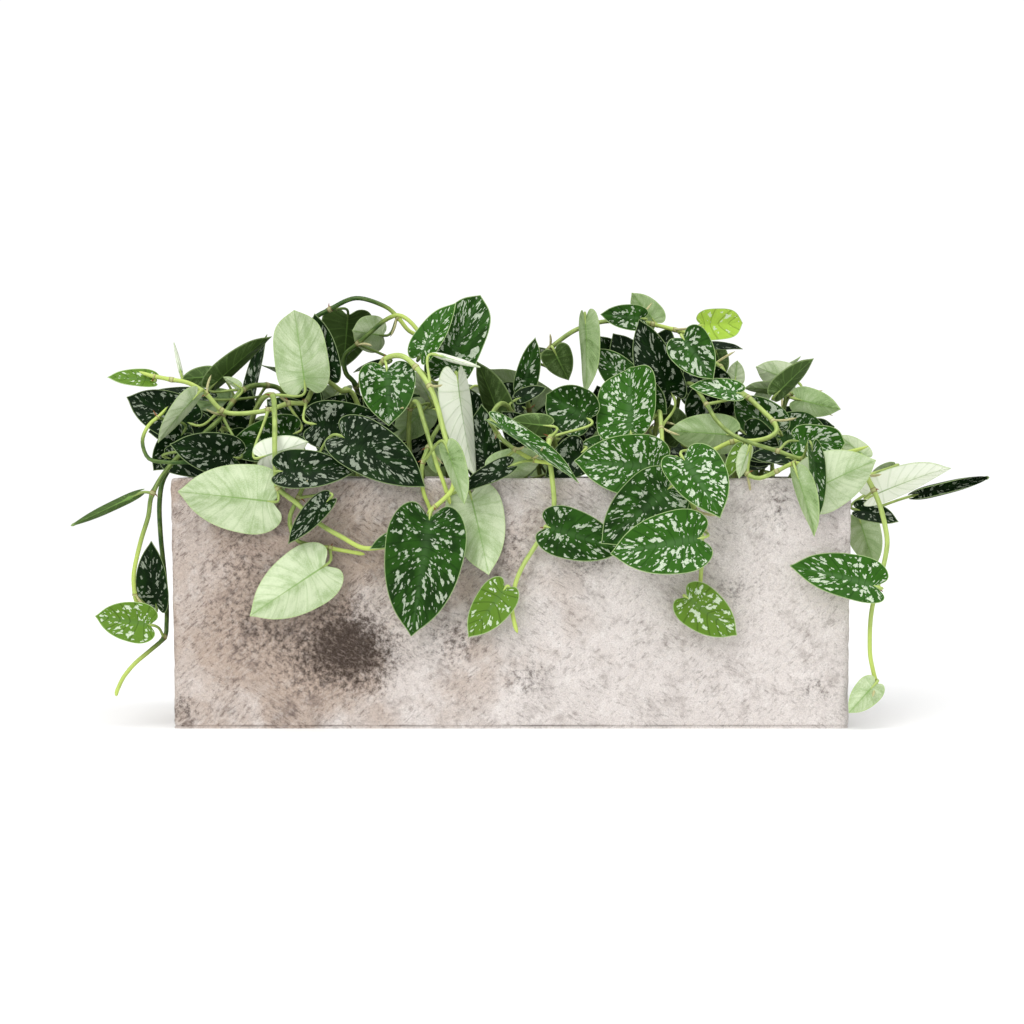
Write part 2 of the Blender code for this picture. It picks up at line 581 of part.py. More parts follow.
def tree_of(solid):
    """A search tree of a solid's faces, with the solid's box."""
    verts, faces = solid
    low = [min(v[i] for v in verts) for i in range(3)]
    high = [max(v[i] for v in verts) for i in range(3)]
    return low, high, BVHTree.FromPolygons(verts, faces)


def apart(one, other):
    """Whether two solids' faces stay clear of each other."""
    for i in range(3):
        if one[1][i] < other[0][i] or other[1][i] < one[0][i]:
            return True
    return not one[2].overlap(other[2])


def is_clear(solids, taken):
    """Whether a set of solids stays clear of everything already placed."""
    trees = [tree_of(solid) for solid in solids]
    return all(apart(tree, other) for tree in trees for other in taken)


def settle_stem(vine, taken):
    """The path of a stem at the smallest shift that keeps it clear of what is already placed."""
    for shift in STEM_SHIFTS:
        path = stem_path(vine, shift)
        if is_clear([tube(path[1:], vine.radius + ROOM, STEM_SIDES)], taken):
            return path
    return None


def settle_leaf(make, leaf_row, nodes, taken, own_stem):
    """The solid of a leaf and its node, at the smallest shift that keeps it clear."""
    tries = [(slide, lean, twist) for slide in SLIDES for lean in LEANS for twist in TWISTS]
    tries.sort(key=lambda t: abs(t[0]) / SLIDE_UNIT + abs(t[1]) / LEAN_UNIT + abs(t[2]) / TWIST_UNIT)
    for slide, lean, twist in tries:
        blade = make(leaf_row, slide, lean, twist)
        node = nearest_node(nodes, blade.base)
        stalk = stalk_path(node, blade)
        wide = blade._replace(length=blade.length + ROOM, width=blade.width + 2 * ROOM)
        thick = BLADE_THICK + 2 * ROOM
        whole = leaf_solid(stalk, wide, STALK_RADIUS + ROOM, thick)
        stub = [stalk[-1] - blade.along * STALK_STUB, stalk[-1]]
        alone = leaf_solid(stub, wide, STALK_RADIUS, thick)
        if is_clear([whole], taken) and is_clear([alone], [own_stem]):
            return leaf_solid(stalk, blade, STALK_RADIUS, BLADE_THICK), node
    return None


def wall_loop(z, inset):
    """The trough's outline at a height, drawn in by a distance, with round corners."""
    lean = TAPER * (1 - z / HEIGHT)
    half_x = LENGTH / 2 * (1 - lean) - inset
    half_y = DEPTH / 2 * (1 - lean) - inset
    radius = max(CORNER - inset, 2)
    loop = []
    for quarter in range(4):
        side_x = (1, -1, -1, 1)[quarter]
        side_y = (1, 1, -1, -1)[quarter]
        for k in range(CORNER_STEPS + 1):
            angle = math.pi / 2 * (quarter + k / CORNER_STEPS)
            loop.append(Vector((side_x * (half_x - radius) + radius * math.cos(angle),
                                side_y * (half_y - radius) + radius * math.sin(angle), z)))
    return loop


def loft(loops):
    """Corners and faces of a closed solid through a row of outlines, bottom first."""
    verts = [corner for loop in loops for corner in loop]
    count = len(loops[0])
    faces = []
    for level in range(len(loops) - 1):
        for k in range(count):
            a = level * count + k
            b = level * count + (k + 1) % count
            faces.append((a, b, b + count, a + count))
    last = len(verts) - count
    faces.append(tuple(reversed(range(count))))
    faces.append(tuple(range(last, len(verts))))
    return verts, faces


def planter_solid():
    """The open trough: outside wall up from its foot, over the rim and down to the floor inside."""
    return loft([wall_loop(0, CHINE_CUT + 1), wall_loop(1, CHINE_CUT), wall_loop(CHINE - 1, CHINE_CUT),
                 wall_loop(CHINE, 0), wall_loop(HEIGHT - EDGE, 0), wall_loop(HEIGHT, EDGE),
                 wall_loop(HEIGHT, WALL - 1), wall_loop(HEIGHT - 1, WALL), wall_loop(FLOOR, WALL)])


def soil_solid():
    """The soil that fills the trough to below its rim."""
    return loft([wall_loop(FLOOR + SOIL_GAP, WALL + SOIL_GAP), wall_loop(SOIL_TOP, WALL + SOIL_GAP)])


def material(name, colour, roughness):
    """A plain surface with the part's own colour."""
    made = bpy.data.materials.new(name)
    made.use_nodes = True
    shader = made.node_tree.nodes["Principled BSDF"]
    shader.inputs["Base Color"].default_value = (*colour, 1)
    shader.inputs["Roughness"].default_value = roughness
    return made


def add_object(name, solid, surface=None):
    """A new object in the scene from a solid in mm."""
    verts, faces = solid
    mesh = bpy.data.meshes.new(name)
    mesh.from_pydata([corner * MM for corner in verts], [], faces)
    if surface:
        mesh.materials.append(surface)
    made = bpy.data.objects.new(name, mesh)
    bpy.context.scene.collection.objects.link(made)
    return made


def combine(target, solids, operation, solver):
    """Joins solids to an object, or cuts them from it, with one Boolean that is then applied."""
    group = bpy.data.collections.new(target.name + "_repeats")
    bpy.context.scene.collection.children.link(group)
    for k, solid in enumerate(solids):
        repeat = add_object(f"{target.name}_{k}", solid)
        bpy.context.scene.collection.objects.unlink(repeat)
        group.objects.link(repeat)
    boolean = target.modifiers.new("Combine", 'BOOLEAN')
    boolean.operation = operation
    boolean.operand_type = 'COLLECTION'
    boolean.collection = group
    boolean.solver = solver
    bpy.context.view_layer.update()
    graph = bpy.context.evaluated_depsgraph_get()
    joined = bpy.data.meshes.new_from_object(target.evaluated_get(graph))
    target.modifiers.clear()
    joined.name = target.name
    target.data = joined
    for repeat in list(group.objects):
        bpy.data.objects.remove(repeat)
    bpy.data.collections.remove(group)


def build_trough():
    """The stone trough."""
    return add_object("planter", planter_solid(), material("rough_stone", (0.56, 0.51, 0.46), 0.9))


def build_soil():
    """The soil, with a plain hole for each stem."""
    soil = add_object("soil", soil_solid(), material("potting_soil", (0.05, 0.035, 0.025), 1.0))
    holes = []
    for vine in VINES:
        x, y = vine.root
        path = [Vector((x, y, SOIL_TOP - ROOT_DEPTH - HOLE_BELOW)), Vector((x, y, SOIL_TOP + COLLAR))]
        holes.append(tube(path, vine.radius + HOLE_CLEARANCE, HOLE_SIDES))
    combine(soil, holes, 'DIFFERENCE', 'EXACT')
    return soil


def grow():
    """Each vine's solids: its stem, then its stalks and blades, all clear of every other vine."""
    taken = [tree_of(planter_solid()), tree_of(soil_solid())]
    paths = {}
    for vine in VINES:
        path = settle_stem(vine, taken)
        if path is None:
            continue
        paths[vine.name] = path
        taken.append(tree_of(tube(path[1:], vine.radius, STEM_SIDES)))
    solids = {}
    stem_trees = dict(zip(paths, taken[2:]))
    for number, vine in enumerate(VINES):
        if vine.name not in paths:
            continue
        path = paths[vine.name]
        own = stem_trees[vine.name]
        rng = random.Random(SEED + number)
        leaves = [(drawn_blade, row) for row in vine.leaves]
        leaves += [(grown_blade, row) for row in seedlings(vine, path, rng)]
        solids[vine.name] = [tube(path, vine.radius, STEM_SIDES)]
        nodes = path[2:]
        others = [tree for tree in taken if tree is not own]
        for make, row in leaves:
            settled = settle_leaf(make, row, nodes, others, own)
            if settled is None:
                continue
            solid, node = settled
            nodes.remove(node)
            solids[vine.name].append(solid)
            others.append(tree_of(solid))
        taken = [*others, own]
    return solids


def build_vines():
    """One object for each leafy stem."""
    for number, (name, solids) in enumerate(grow().items()):
        shade = 0.75 + 0.5 * (number % 5) / 4
        leaf_green = material(f"leaf_{name}", (0.045 * shade, 0.13 * shade, 0.035 * shade), 0.45)
        vine = add_object(name, solids[0], leaf_green)
        combine(vine, solids[1:], 'UNION', 'MANIFOLD')


def main():
    """Clears the scene and builds the planter, its soil and its vines."""
    for old in list(bpy.data.objects):
        bpy.data.objects.remove(old)
    build_trough()
    build_soil()
    build_vines()


main()
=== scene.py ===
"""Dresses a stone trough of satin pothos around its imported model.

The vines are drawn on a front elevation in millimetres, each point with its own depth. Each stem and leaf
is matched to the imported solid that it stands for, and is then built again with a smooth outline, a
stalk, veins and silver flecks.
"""

import logging
import math
import random
from dataclasses import dataclass, field
from enum import Enum
from typing import Callable, Iterator, Optional, Sequence

import bmesh
import bpy
import numpy as np
from mathutils import Matrix, Vector, noise
from mathutils.bvhtree import BVHTree

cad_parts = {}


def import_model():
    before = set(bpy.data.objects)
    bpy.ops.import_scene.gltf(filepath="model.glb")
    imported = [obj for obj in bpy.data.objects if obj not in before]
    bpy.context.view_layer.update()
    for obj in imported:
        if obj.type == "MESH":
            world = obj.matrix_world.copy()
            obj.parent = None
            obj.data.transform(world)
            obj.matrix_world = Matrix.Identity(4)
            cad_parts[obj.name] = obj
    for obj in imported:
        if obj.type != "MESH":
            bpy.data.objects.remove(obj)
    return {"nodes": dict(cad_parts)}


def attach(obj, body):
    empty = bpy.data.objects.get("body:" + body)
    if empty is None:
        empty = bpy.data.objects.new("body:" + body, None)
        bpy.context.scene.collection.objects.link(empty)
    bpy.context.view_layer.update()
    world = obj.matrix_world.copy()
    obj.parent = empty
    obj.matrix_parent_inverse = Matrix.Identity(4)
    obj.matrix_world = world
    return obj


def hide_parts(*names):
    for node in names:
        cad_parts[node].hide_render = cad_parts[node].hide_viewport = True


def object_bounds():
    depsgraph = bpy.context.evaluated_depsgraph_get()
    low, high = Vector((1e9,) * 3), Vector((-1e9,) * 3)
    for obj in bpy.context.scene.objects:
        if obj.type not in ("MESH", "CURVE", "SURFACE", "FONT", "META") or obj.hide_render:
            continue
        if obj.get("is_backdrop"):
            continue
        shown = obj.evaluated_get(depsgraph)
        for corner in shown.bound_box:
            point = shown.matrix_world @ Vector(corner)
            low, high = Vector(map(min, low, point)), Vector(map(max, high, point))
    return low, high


Triple = tuple[float, float, float]

LOG = logging.getLogger("trough")
MM = 0.001

# Where the camera stands and looks, and the sheet that the vines are drawn on, in mm
EYE = Vector((0.9, -2610, 240))
AIM = Vector((0.9, -110, 192))
SHEET_Y = -110

SEED = 11

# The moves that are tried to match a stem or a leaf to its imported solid, in mm and degrees
STEM_SHIFTS = (0, -5, 5, -10, 10, -16, 16, -24, 24, -32, 32)
SLIDES = (0, -4, 4, -8, 8, -12, 12, -17, 17, -23, 23, -30, 30, -38, 38)
TWISTS = (0, 14, -14, 28, -28)
LEANS = (0, -14, 14, -26, 26)

# How much of each kind of move counts as one step away from the drawing
SLIDE_UNIT = 6
LEAN_UNIT = 10
TWIST_UNIT = 14

# A tube's drawn-in ends, as shares of its last radius and last step
TUBE_END_RADIUS = 0.05
TUBE_END_REACH = 0.02

# How far a tube's grain goes to either side, in mm
TUBE_GRAIN = 3


class Side(Enum):
    """The side of a leaf that shows from the front."""

    TOP = 1
    UNDER = -1


TOP = Side.TOP
UNDER = Side.UNDER


@dataclass(frozen=True)
class Tint:
    """How a leaf is coloured: its youth, its share of silver and its lightness, each from 0 to 1. The
    lightness is partly the leaf's own tone and partly painted light and shade.
    """

    youth: float
    silver: float
    light: float


class Look(Enum):
    """The kinds of leaf that the plant carries. On an underside the lightness is painted light and shade,
    from olive in shade to near white where lit; on a top it is partly the leaf's own tone and partly painted
    shade.
    """

    MATURE = Tint(0.0, 0.5, 0.5)
    # Dark green leaves, and painted shade on the leaves that lie deep in the crown.
    DARK = Tint(0.0, 0.7, 0.08)
    SILVER = Tint(0.0, 0.95, 0.6)
    BRIGHT = Tint(0.0, 0.6, 1.0)
    # Painted satin sheen: full silver flecks and high lightness.
    PAINTED_SHEEN = Tint(0.0, 1.0, 0.95)
    FRESH = Tint(0.3, 0.5, 1.0)
    YOUNG = Tint(1.0, 0.45, 1.0)
    SHADED = Tint(0.0, 0.2, 0.0)
    SAGE = Tint(0.0, 0.4, 0.68)
    PALE = Tint(0.0, 0.4, 0.80)
    # Painted light: an underside lit brightly, painted near white.
    LIT_CREAM = Tint(0.0, 0.4, 1.55)


MATURE, DARK, SILVER, BRIGHT, PAINTED_SHEEN, FRESH, YOUNG, SHADED, SAGE, PALE, LIT_CREAM = Look


@dataclass(frozen=True)
class DrawnLeaf:
    """A leaf as drawn on the elevation: its sinus, tip and seen width, its depth and the side that shows.

    A blunt leaf has its tip curled under or its sides rolled together. One with no look of its own has
    its vine's.
    """

    base: tuple[float, float]
    tip: tuple[float, float]
    width: float
    depth: float
    side: Side
    lean: float
    blunt: bool
    look: Optional[Look]


@dataclass(frozen=True)
class VineRow:
    """One vine as drawn: where it roots, its stem's radius and darkness, its route and its leaves."""

    name: str
    root: tuple[float, float]
    radius: float
    tone: float
    route: tuple[Triple, ...]
    leaves: tuple[DrawnLeaf, ...]
    grown: int
    look: Look = MATURE


def leaf(bx: float, bz: float, tx: float, tz: float, width: float, depth: float,
         side: Side = TOP, lean: float = 0, blunt: bool = False, look: Optional[Look] = None) -> DrawnLeaf:
    """A row for one drawn leaf."""
    return DrawnLeaf((bx, bz), (tx, tz), width, depth, side, lean, blunt, look)


VINES = (
    VineRow("vine_left_runner", (-175, 30), 2.4, 0.6,
            ((-190, 262, 20), (-200, 296, -5), (-216, 304, -20), (-237, 300, -40), (-255, 277, -60),
             (-275, 258, -78), (-300, 235, -95), (-317, 209, -100), (-321, 188, -100), (-328, 165, -98),
             (-334, 137, -95), (-333, 118, -92)),
            (leaf(-330, 208, -389, 180, 9, -100, UNDER, 0, True, look=SHADED),
             leaf(-314, 108, -321, 166, 30, -75),
             leaf(-264, 304, -215, 351, 20, -30, UNDER, look=SHADED),
             leaf(-231, 288, -220, 350, 14, 6),
             leaf(-240, 303, -254, 312, 8, -44, UNDER, look=FRESH),
             leaf(-304, 240, -262, 228, 28, -70),
             leaf(-270, 257, -300, 284, 36, -60),
             leaf(-243, 240, -300, 252, 40, -80),
             leaf(-266, 292, -322, 301, 18, -16)), 0, DARK),
    VineRow("vine_left_arch", (-120, -10), 2.4, 0.12,
            ((-128, 262, -20), (-140, 297, -30), (-150, 299, -34), (-165, 309, -42), (-175, 301, -50),
             (-182, 289, -56), (-197, 288, -60), (-215, 282, -62), (-240, 279, -64), (-256, 282, -66),
             (-270, 297, -68), (-285, 306, -66), (-300, 309, -64), (-316, 312, -62)),
            (leaf(-222, 240, -179, 254, 30, -106, UNDER, look=LIT_CREAM),
             leaf(-316, 308, -357, 313, 17, -60, look=FRESH),
             leaf(-283, 270, -340, 295, 44, -50),
             leaf(-278, 296, -315, 256, 17, -90, UNDER, look=PALE),
             leaf(-190, 262, -253, 245, 42, -82, look=MATURE),
             leaf(-175, 270, -99, 265, 46, -85),
             leaf(-162, 310, -176, 367, 34, -46),
             leaf(-291, 312, -298, 342, 4, -60, UNDER, 0, True, look=LIT_CREAM)), 0, DARK),
    VineRow("vine_front_left", (-232, 0), 2.5, 0.35,
            ((-230, 262, -20), (-222, 289, -45), (-211, 295, -75), (-209, 275, -98), (-209, 248, -113),
             (-208, 226, -120), (-206, 213, -122), (-190, 200, -125), (-170, 182, -127), (-150, 170, -128),
             (-130, 160, -128), (-108, 162, -128)),
            (leaf(-182, 303, -191, 370, 50, -60, UNDER, 0, True, look=SAGE),
             leaf(-210, 201, -295, 211, 64, -122, UNDER, look=PALE),
             leaf(-85, 172, -125, 162, 16, -122)), 0),
    VineRow("vine_front_loop", (-165, -45), 2.2, 0.5,
            ((-168, 232, -78), (-175, 236, -102), (-181, 222, -116), (-188, 205, -118), (-195, 190, -118),
             (-195, 178, -118), (-188, 166, -118), (-160, 160, -118), (-138, 156, -118)),
            (leaf(-205, 228, -140, 229, 36, -114),
             leaf(-164, 145, -231, 101, 58, -126, UNDER, look=PALE),
             leaf(-161, 203, -199, 165, 16, -118),
             leaf(-150, 259, -75, 218, 50, -105)), 0, DARK),
    VineRow("vine_high_arch", (-200, 50), 2.4, 0.85,
            ((-196, 262, 42), (-186, 330, 18), (-176, 360, 4), (-160, 371, 0), (-137, 381, -4),
             (-112, 374, -6), (-100, 364, -8), (-90, 352, -10), (-76, 346, -12)),
            (leaf(-144, 366, -148, 322, 50, 24, UNDER, look=SHADED),
             leaf(-113, 348, -143, 352, 36, 6, UNDER, look=SAGE),
             leaf(-80, 330, -52, 379, 27, -66, look=BRIGHT)), 0),
    VineRow("vine_low_arch", (-120, 40), 2.4, 0.75,
            ((-130, 270, 20), (-137, 303, 0), (-146, 315, -8), (-147, 330, -12), (-135, 341, -18),
             (-125, 350, -22), (-112, 361, -26), (-100, 366, -30), (-90, 361, -34), (-82, 352, -38)),
            (leaf(-110, 324, -140, 318, 7, -5),
             leaf(-172, 285, -200, 300, 34, 20),
             leaf(-118, 300, -96, 262, 38, -20)), 0, DARK),
    VineRow("vine_centre_fall", (-110, -35), 2.6, 0.1,
            ((-118, 262, -44), (-121, 305, -52), (-112, 326, -60), (-97, 330, -72), (-84, 320, -84),
             (-72, 303, -96), (-65, 285, -104), (-60, 265, -111), (-55, 248, -117), (-50, 236, -121),
             (-50, 225, -124), (-52, 212, -126), (-60, 203, -128), (-68, 196, -129)),
            (leaf(-110, 319, -107, 270, 53, -72, TOP, 18),
             leaf(-60, 312, -27, 384, 46, -52, TOP, 0, True),
             leaf(-70, 290, -86, 318, 16, -45, UNDER, look=PALE),
             leaf(-66, 331, -27, 320, 6, -68, UNDER, 0, True, look=LIT_CREAM),
             leaf(-72, 188, -87, 81, 73, -130, look=MATURE)), 0, SILVER),
    VineRow("vine_centre_left", (-85, -50), 2.3, 0.4,
            ((-90, 250, -60), (-89, 284, -74), (-83, 289, -88), (-78, 275, -99), (-72, 255, -108),
             (-66, 235, -116), (-60, 219, -118), (-56, 207, -118)),
            (leaf(-75, 284, -103, 256, 34, -50, UNDER),
             leaf(-36, 208, -18, 137, 53, -120, UNDER, look=PALE)), 0),
    VineRow("vine_centre_upright", (-45, -30), 2.2, 0.45,
            ((-50, 250, -60), (-56, 273, -84), (-66, 264, -98), (-73, 249, -108), (-78, 236, -115),
             (-79, 220, -118), (-77, 208, -118), (-73, 198, -118)),
            (leaf(-48, 312, -38, 222, 29, -85, UNDER, look=LIT_CREAM),
             leaf(-20, 226, -29, 288, 34, -76, look=DARK),
             leaf(-57, 250, -38, 200, 20, -112, UNDER),
             leaf(-70, 250, -66, 226, 16, -100, UNDER)), 0),
    VineRow("vine_middle", (0, -20), 2.3, 0.45,
            ((2, 250, -30), (0, 280, -42), (-9, 288, -58), (-17, 276, -76), (-12, 261, -90), (4, 247, -100),
             (20, 238, -108), (30, 236, -114)),
            (leaf(-8, 272, -28, 326, 28, -12, UNDER, look=SHADED),
             leaf(6, 292, 31, 303, 14, -8),
             leaf(-14, 271, 64, 224, 15, -116, look=PAINTED_SHEEN),
             leaf(-16, 228, 30, 243, 32, -104, UNDER, look=SAGE),
             leaf(0, 233, -46, 212, 18, -118)), 0, DARK),
    VineRow("vine_middle_fall", (45, -30), 2.4, 0.12,
            ((40, 246, -56), (36, 258, -76), (34, 256, -94), (33, 245, -107), (36, 225, -116),
             (38, 196, -119), (31, 177, -119), (21, 161, -119), (12, 147, -119), (5, 132, -120),
             (2, 118, -120), (1, 105, -120), (3, 94, -120)),
            (leaf(69, 274, 29, 298, 47, -60),
             leaf(32, 179, 100, 158, 47, -124),
             leaf(-5, 125, -37, 80, 36, -122, look=FRESH),
             leaf(64, 246, 32, 224, 38, -84, look=DARK),
             leaf(90, 252, 58, 250, 18, -74, look=SILVER),
             leaf(34, 268, -2, 272, 22, -56, UNDER, look=SHADED)), 0),
    VineRow("vine_right_crest", (30, 30), 2.3, 0.4,
            ((20, 262, 22), (14, 300, 8), (22, 324, 0), (35, 337, 0), (52, 350, 0), (65, 356, -2),
             (80, 360, -4), (95, 361, -6), (110, 361, -8), (125, 358, -8), (145, 353, -8), (163, 348, -8)),
            (leaf(10, 300, 23, 346, 16, -20, look=MATURE),
             leaf(30, 262, -8, 274, 28, -16),
             leaf(12, 284, -17, 304, 34, 30),
             leaf(38, 335, 50, 310, 30, -16, UNDER, look=SHADED),
             leaf(38, 322, 25, 338, 14, 16),
             leaf(66, 364, 71, 296, 20, -14, UNDER, look=MATURE),
             leaf(117, 363, 79, 367, 25, -20, look=SILVER),
             leaf(128, 359, 107, 386, 28, 6, UNDER, look=MATURE),
             leaf(168, 357, 205, 360, 30, -6, TOP, 0, True, look=YOUNG),
             leaf(174, 338, 205, 339, 8, 12)), 0, DARK),
    VineRow("vine_right_fall", (150, -55), 2.3, 0.2,
            ((148, 232, -80), (146, 240, -103), (150, 230, -121), (157, 208, -130), (163, 193, -130),
             (168, 178, -126), (169, 155, -120), (168, 135, -119), (166, 120, -119), (158, 111, -119)),
            (leaf(141, 214, 80, 164, 58, -144),
             leaf(168, 169, 88, 156, 58, -150, look=BRIGHT),
             leaf(158, 190, 112, 184, 22, -118, look=PAINTED_SHEEN),
             leaf(155, 117, 200, 82, 42, -126, look=FRESH)), 0),
    VineRow("vine_right_loop", (165, 20), 2.5, 0.15,
            ((172, 262, 10), (178, 300, 0), (178, 322, -8), (185, 320, -18), (190, 312, -26),
             (196, 304, -32), (210, 293, -46), (222, 282, -58), (232, 272, -69), (235, 264, -77),
             (228, 258, -83), (215, 255, -87), (195, 254, -91), (178, 246, -95)),
            (leaf(152, 346, 178, 311, 42, -52),
             leaf(180, 336, 190, 314, 20, 24, UNDER, look=SHADED),
             leaf(186, 294, 152, 322, 42, -30, look=DARK),
             leaf(174, 298, 156, 272, 28, -50, look=DARK),
             leaf(196, 260, 138, 265, 38, -70, UNDER, look=MATURE),
             leaf(150, 255, 138, 289, 30, -30, UNDER, look=SHADED),
             leaf(198, 306, 200, 326, 18, 0, UNDER, look=PALE),
             leaf(236, 262, 197, 294, 42, -54),
             leaf(152, 240, 187, 191, 58, -118, look=PAINTED_SHEEN)), 0, SILVER),
    VineRow("vine_heart", (118, -20), 2.3, 0.25,
            ((126, 255, -44), (131, 280, -72), (133, 266, -95), (134, 250, -107), (136, 239, -113)),
            (leaf(106, 262, 103, 323, 64, -76, TOP, 0, True, look=BRIGHT),
             leaf(114, 300, 137, 280, 30, -45),
             leaf(106, 304, 74, 336, 32, -46, look=SILVER),
             leaf(143, 295, 108, 361, 47, -44, look=DARK),
             leaf(132, 232, 56, 236, 58, -116, look=PAINTED_SHEEN)), 0),
    VineRow("vine_right_runner", (135, 10), 2.1, 0.5,
            ((143, 262, 0), (150, 298, -36), (160, 305, -60), (173, 287, -80), (182, 273, -92),
             (195, 261, -101), (210, 254, -107), (236, 246, -113), (258, 239, -115), (280, 242, -113),
             (302, 246, -110)),
            (leaf(266, 249, 275, 182, 15, -142, look=MATURE),
             leaf(202, 297, 158, 305, 20, -66),
             leaf(252, 255, 296, 252, 32, -104, TOP, 0, True)), 0, PAINTED_SHEEN),
    VineRow("vine_right_corner", (200, -58), 2.2, 0.3,
            ((199, 232, -84), (203, 238, -104), (209, 226, -115), (220, 222, -119), (235, 228, -119),
             (250, 235, -120), (262, 233, -121)),
            (leaf(262, 209, 321, 240, 56, -121, UNDER),
             leaf(253, 227, 272, 172, 19, -128, UNDER, look=MATURE),
             leaf(206, 250, 190, 223, 15, -96, look=FRESH),
             leaf(210, 248, 200, 222, 13, -104, UNDER),
             leaf(246, 240, 211, 243, 16, -90, look=DARK)), 0, PALE),
    VineRow("vine_right_hanging", (255, -25), 2.4, 0.15,
            ((264, 246, -42), (285, 248, -60), (303, 238, -80), (314, 224, -92), (321, 211, -98),
             (327, 196, -101), (331, 180, -103), (333, 165, -104), (331, 150, -105), (328, 138, -106),
             (324, 124, -107), (320, 108, -108), (318, 90, -109), (318, 67, -110), (320, 55, -110),
             (323, 42, -110)),
            (leaf(314, 240, 290, 260, 20, -78, UNDER),
             leaf(318, 206, 386, 236, 28, -72, UNDER, look=LIT_CREAM),
             leaf(338, 233, 318, 228, 9, -56, UNDER),
             leaf(324, 126, 248, 147, 42, -127, look=BRIGHT),
             leaf(323, 40, 299, 14, 26, -120, UNDER)), 0, PALE),
    VineRow("vine_right_side", (270, 25), 2.3, 0.45,
            ((280, 244, 20), (296, 244, 16), (311, 230, 12), (319, 212, 8), (321, 195, 6), (318, 172, 6),
             (313, 154, 10)),
            (leaf(358, 207, 424, 223, 12, -4, TOP, 0, True),
             leaf(306, 194, 344, 186, 20, -28),
             leaf(308, 187, 322, 143, 34, 4, UNDER, look=MATURE),
             leaf(308, 152, 312, 136, 12, 22)), 0, DARK),
    VineRow("vine_right_crown", (225, 30), 2.3, 0.45,
            ((232, 256, 20), (240, 280, 10), (246, 295, 4), (258, 297, 8), (265, 288, 16), (266, 274, 24)),
            (leaf(236, 256, 281, 268, 46, -30, look=SILVER),
             leaf(250, 308, 216, 320, 30, 26, UNDER, look=PALE),
             leaf(234, 296, 266, 329, 20, -18, UNDER, look=SHADED),
             leaf(252, 292, 291, 282, 28, -16, UNDER),
             leaf(236, 300, 206, 304, 13, -2, UNDER)), 0),
    VineRow("vine_left_hanging", (-262, -30), 2.3, 0.8,
            ((-276, 244, -40), (-294, 238, -44), (-307, 222, -48), (-311, 200, -50), (-310, 170, -50),
             (-307, 140, -52), (-305, 112, -62), (-305, 93, -76), (-307, 81, -88), (-320, 69, -94),
             (-333, 58, -96), (-343, 46, -97), (-348, 36, -97)),
            (leaf(-319, 92, -369, 100, 38, -102, look=FRESH),), 0),
    VineRow("vine_back_far_left", (-240, 55), 2.3, 0.45,
            ((-238, 236, 64), (-236, 276, 88), (-238, 284, 112), (-242, 262, 132), (-246, 218, 140),
             (-246, 172, 142), (-242, 130, 140)),
            (leaf(-262, 312, -292, 310, 22, 60, UNDER, look=SHADED),), 7),
    VineRow("vine_back_left", (-165, 70), 2.3, 0.45,
            ((-160, 250, 76), (-150, 296, 92), (-142, 296, 118), (-136, 258, 138), (-136, 216, 142),
             (-140, 176, 142)), (leaf(-156, 240, -150, 262, 44, 44),), 6),
    VineRow("vine_back_centre_left", (-60, 62), 2.3, 0.45,
            ((-54, 256, 70), (-44, 298, 90), (-40, 284, 120), (-42, 246, 139), (-48, 200, 143),
             (-52, 150, 142), (-50, 112, 140)), (leaf(-62, 242, -66, 264, 44, 40),), 7),
    VineRow("vine_back_centre", (32, 72), 2.3, 0.45,
            ((36, 246, 80), (44, 272, 98), (50, 266, 122), (54, 238, 139), (58, 200, 143), (64, 166, 142)),
            (leaf(24, 240, 18, 262, 44, 48),), 5),
    VineRow("vine_back_centre_right", (112, 62), 2.3, 0.45,
            ((116, 256, 70), (126, 300, 88), (136, 296, 114), (140, 262, 136), (143, 222, 143),
             (142, 180, 143), (136, 142, 141)), (), 7),
    VineRow("vine_back_right", (205, 62), 2.3, 0.45,
            ((210, 250, 70), (218, 276, 88), (226, 272, 114), (230, 246, 136), (232, 206, 142),
             (230, 168, 142)), (leaf(214, 238, 222, 260, 44, 44),), 5),
    VineRow("vine_left_loop", (-238, -64), 2.0, 0.8,
            ((-246, 236, -84), (-262, 237, -98), (-284, 236, -106), (-303, 236, -108), (-320, 239, -108),
             (-326, 254, -106), (-321, 268, -100), (-312, 276, -92)),
            (leaf(-290, 262, -316, 228, 34, -78),), 0, DARK),
    VineRow("vine_left_end", (-262, 34), 2.2, 0.45,
            ((-264, 238, 30), (-276, 252, 22), (-290, 254, 14), (-300, 244, 8)),
            (leaf(-284, 270, -321, 262, 34, 8),
             leaf(-270, 250, -240, 276, 36, 4),
             leaf(-296, 262, -312, 286, 28, 22),
             leaf(-280, 232, -288, 250, 40, 40)), 0, DARK),
    VineRow("vine_crown_far_left", (-222, -30), 2.2, 0.45,
            ((-226, 238, -26), (-238, 258, -20), (-256, 266, -14), (-276, 264, -10), (-296, 258, -8)),
            (leaf(-262, 262, -306, 274, 36, -40),
             leaf(-248, 264, -230, 300, 36, -26),
             leaf(-232, 252, -270, 236, 38, -52),
             leaf(-286, 256, -318, 240, 32, -34),
             leaf(-252, 236, -258, 256, 44, -2)), 0, DARK),
    VineRow("vine_crown_inner_left", (-186, 14), 2.2, 0.45,
            ((-190, 240, 10), (-196, 262, 0), (-192, 274, -14), (-182, 272, -26)),
            (leaf(-180, 262, -216, 292, 42, -16),
             leaf(-196, 268, -168, 300, 38, -8),
             leaf(-206, 248, -244, 268, 40, 0),
             leaf(-170, 262, -146, 296, 36, -6),
             leaf(-204, 234, -208, 254, 46, 24)), 0, DARK),
    VineRow("vine_crown_left", (-80, 16), 2.2, 0.45,
            ((-80, 240, 14), (-84, 266, 8), (-98, 284, 4), (-118, 290, 2)),
            (leaf(-128, 264, -150, 300, 38, 4),
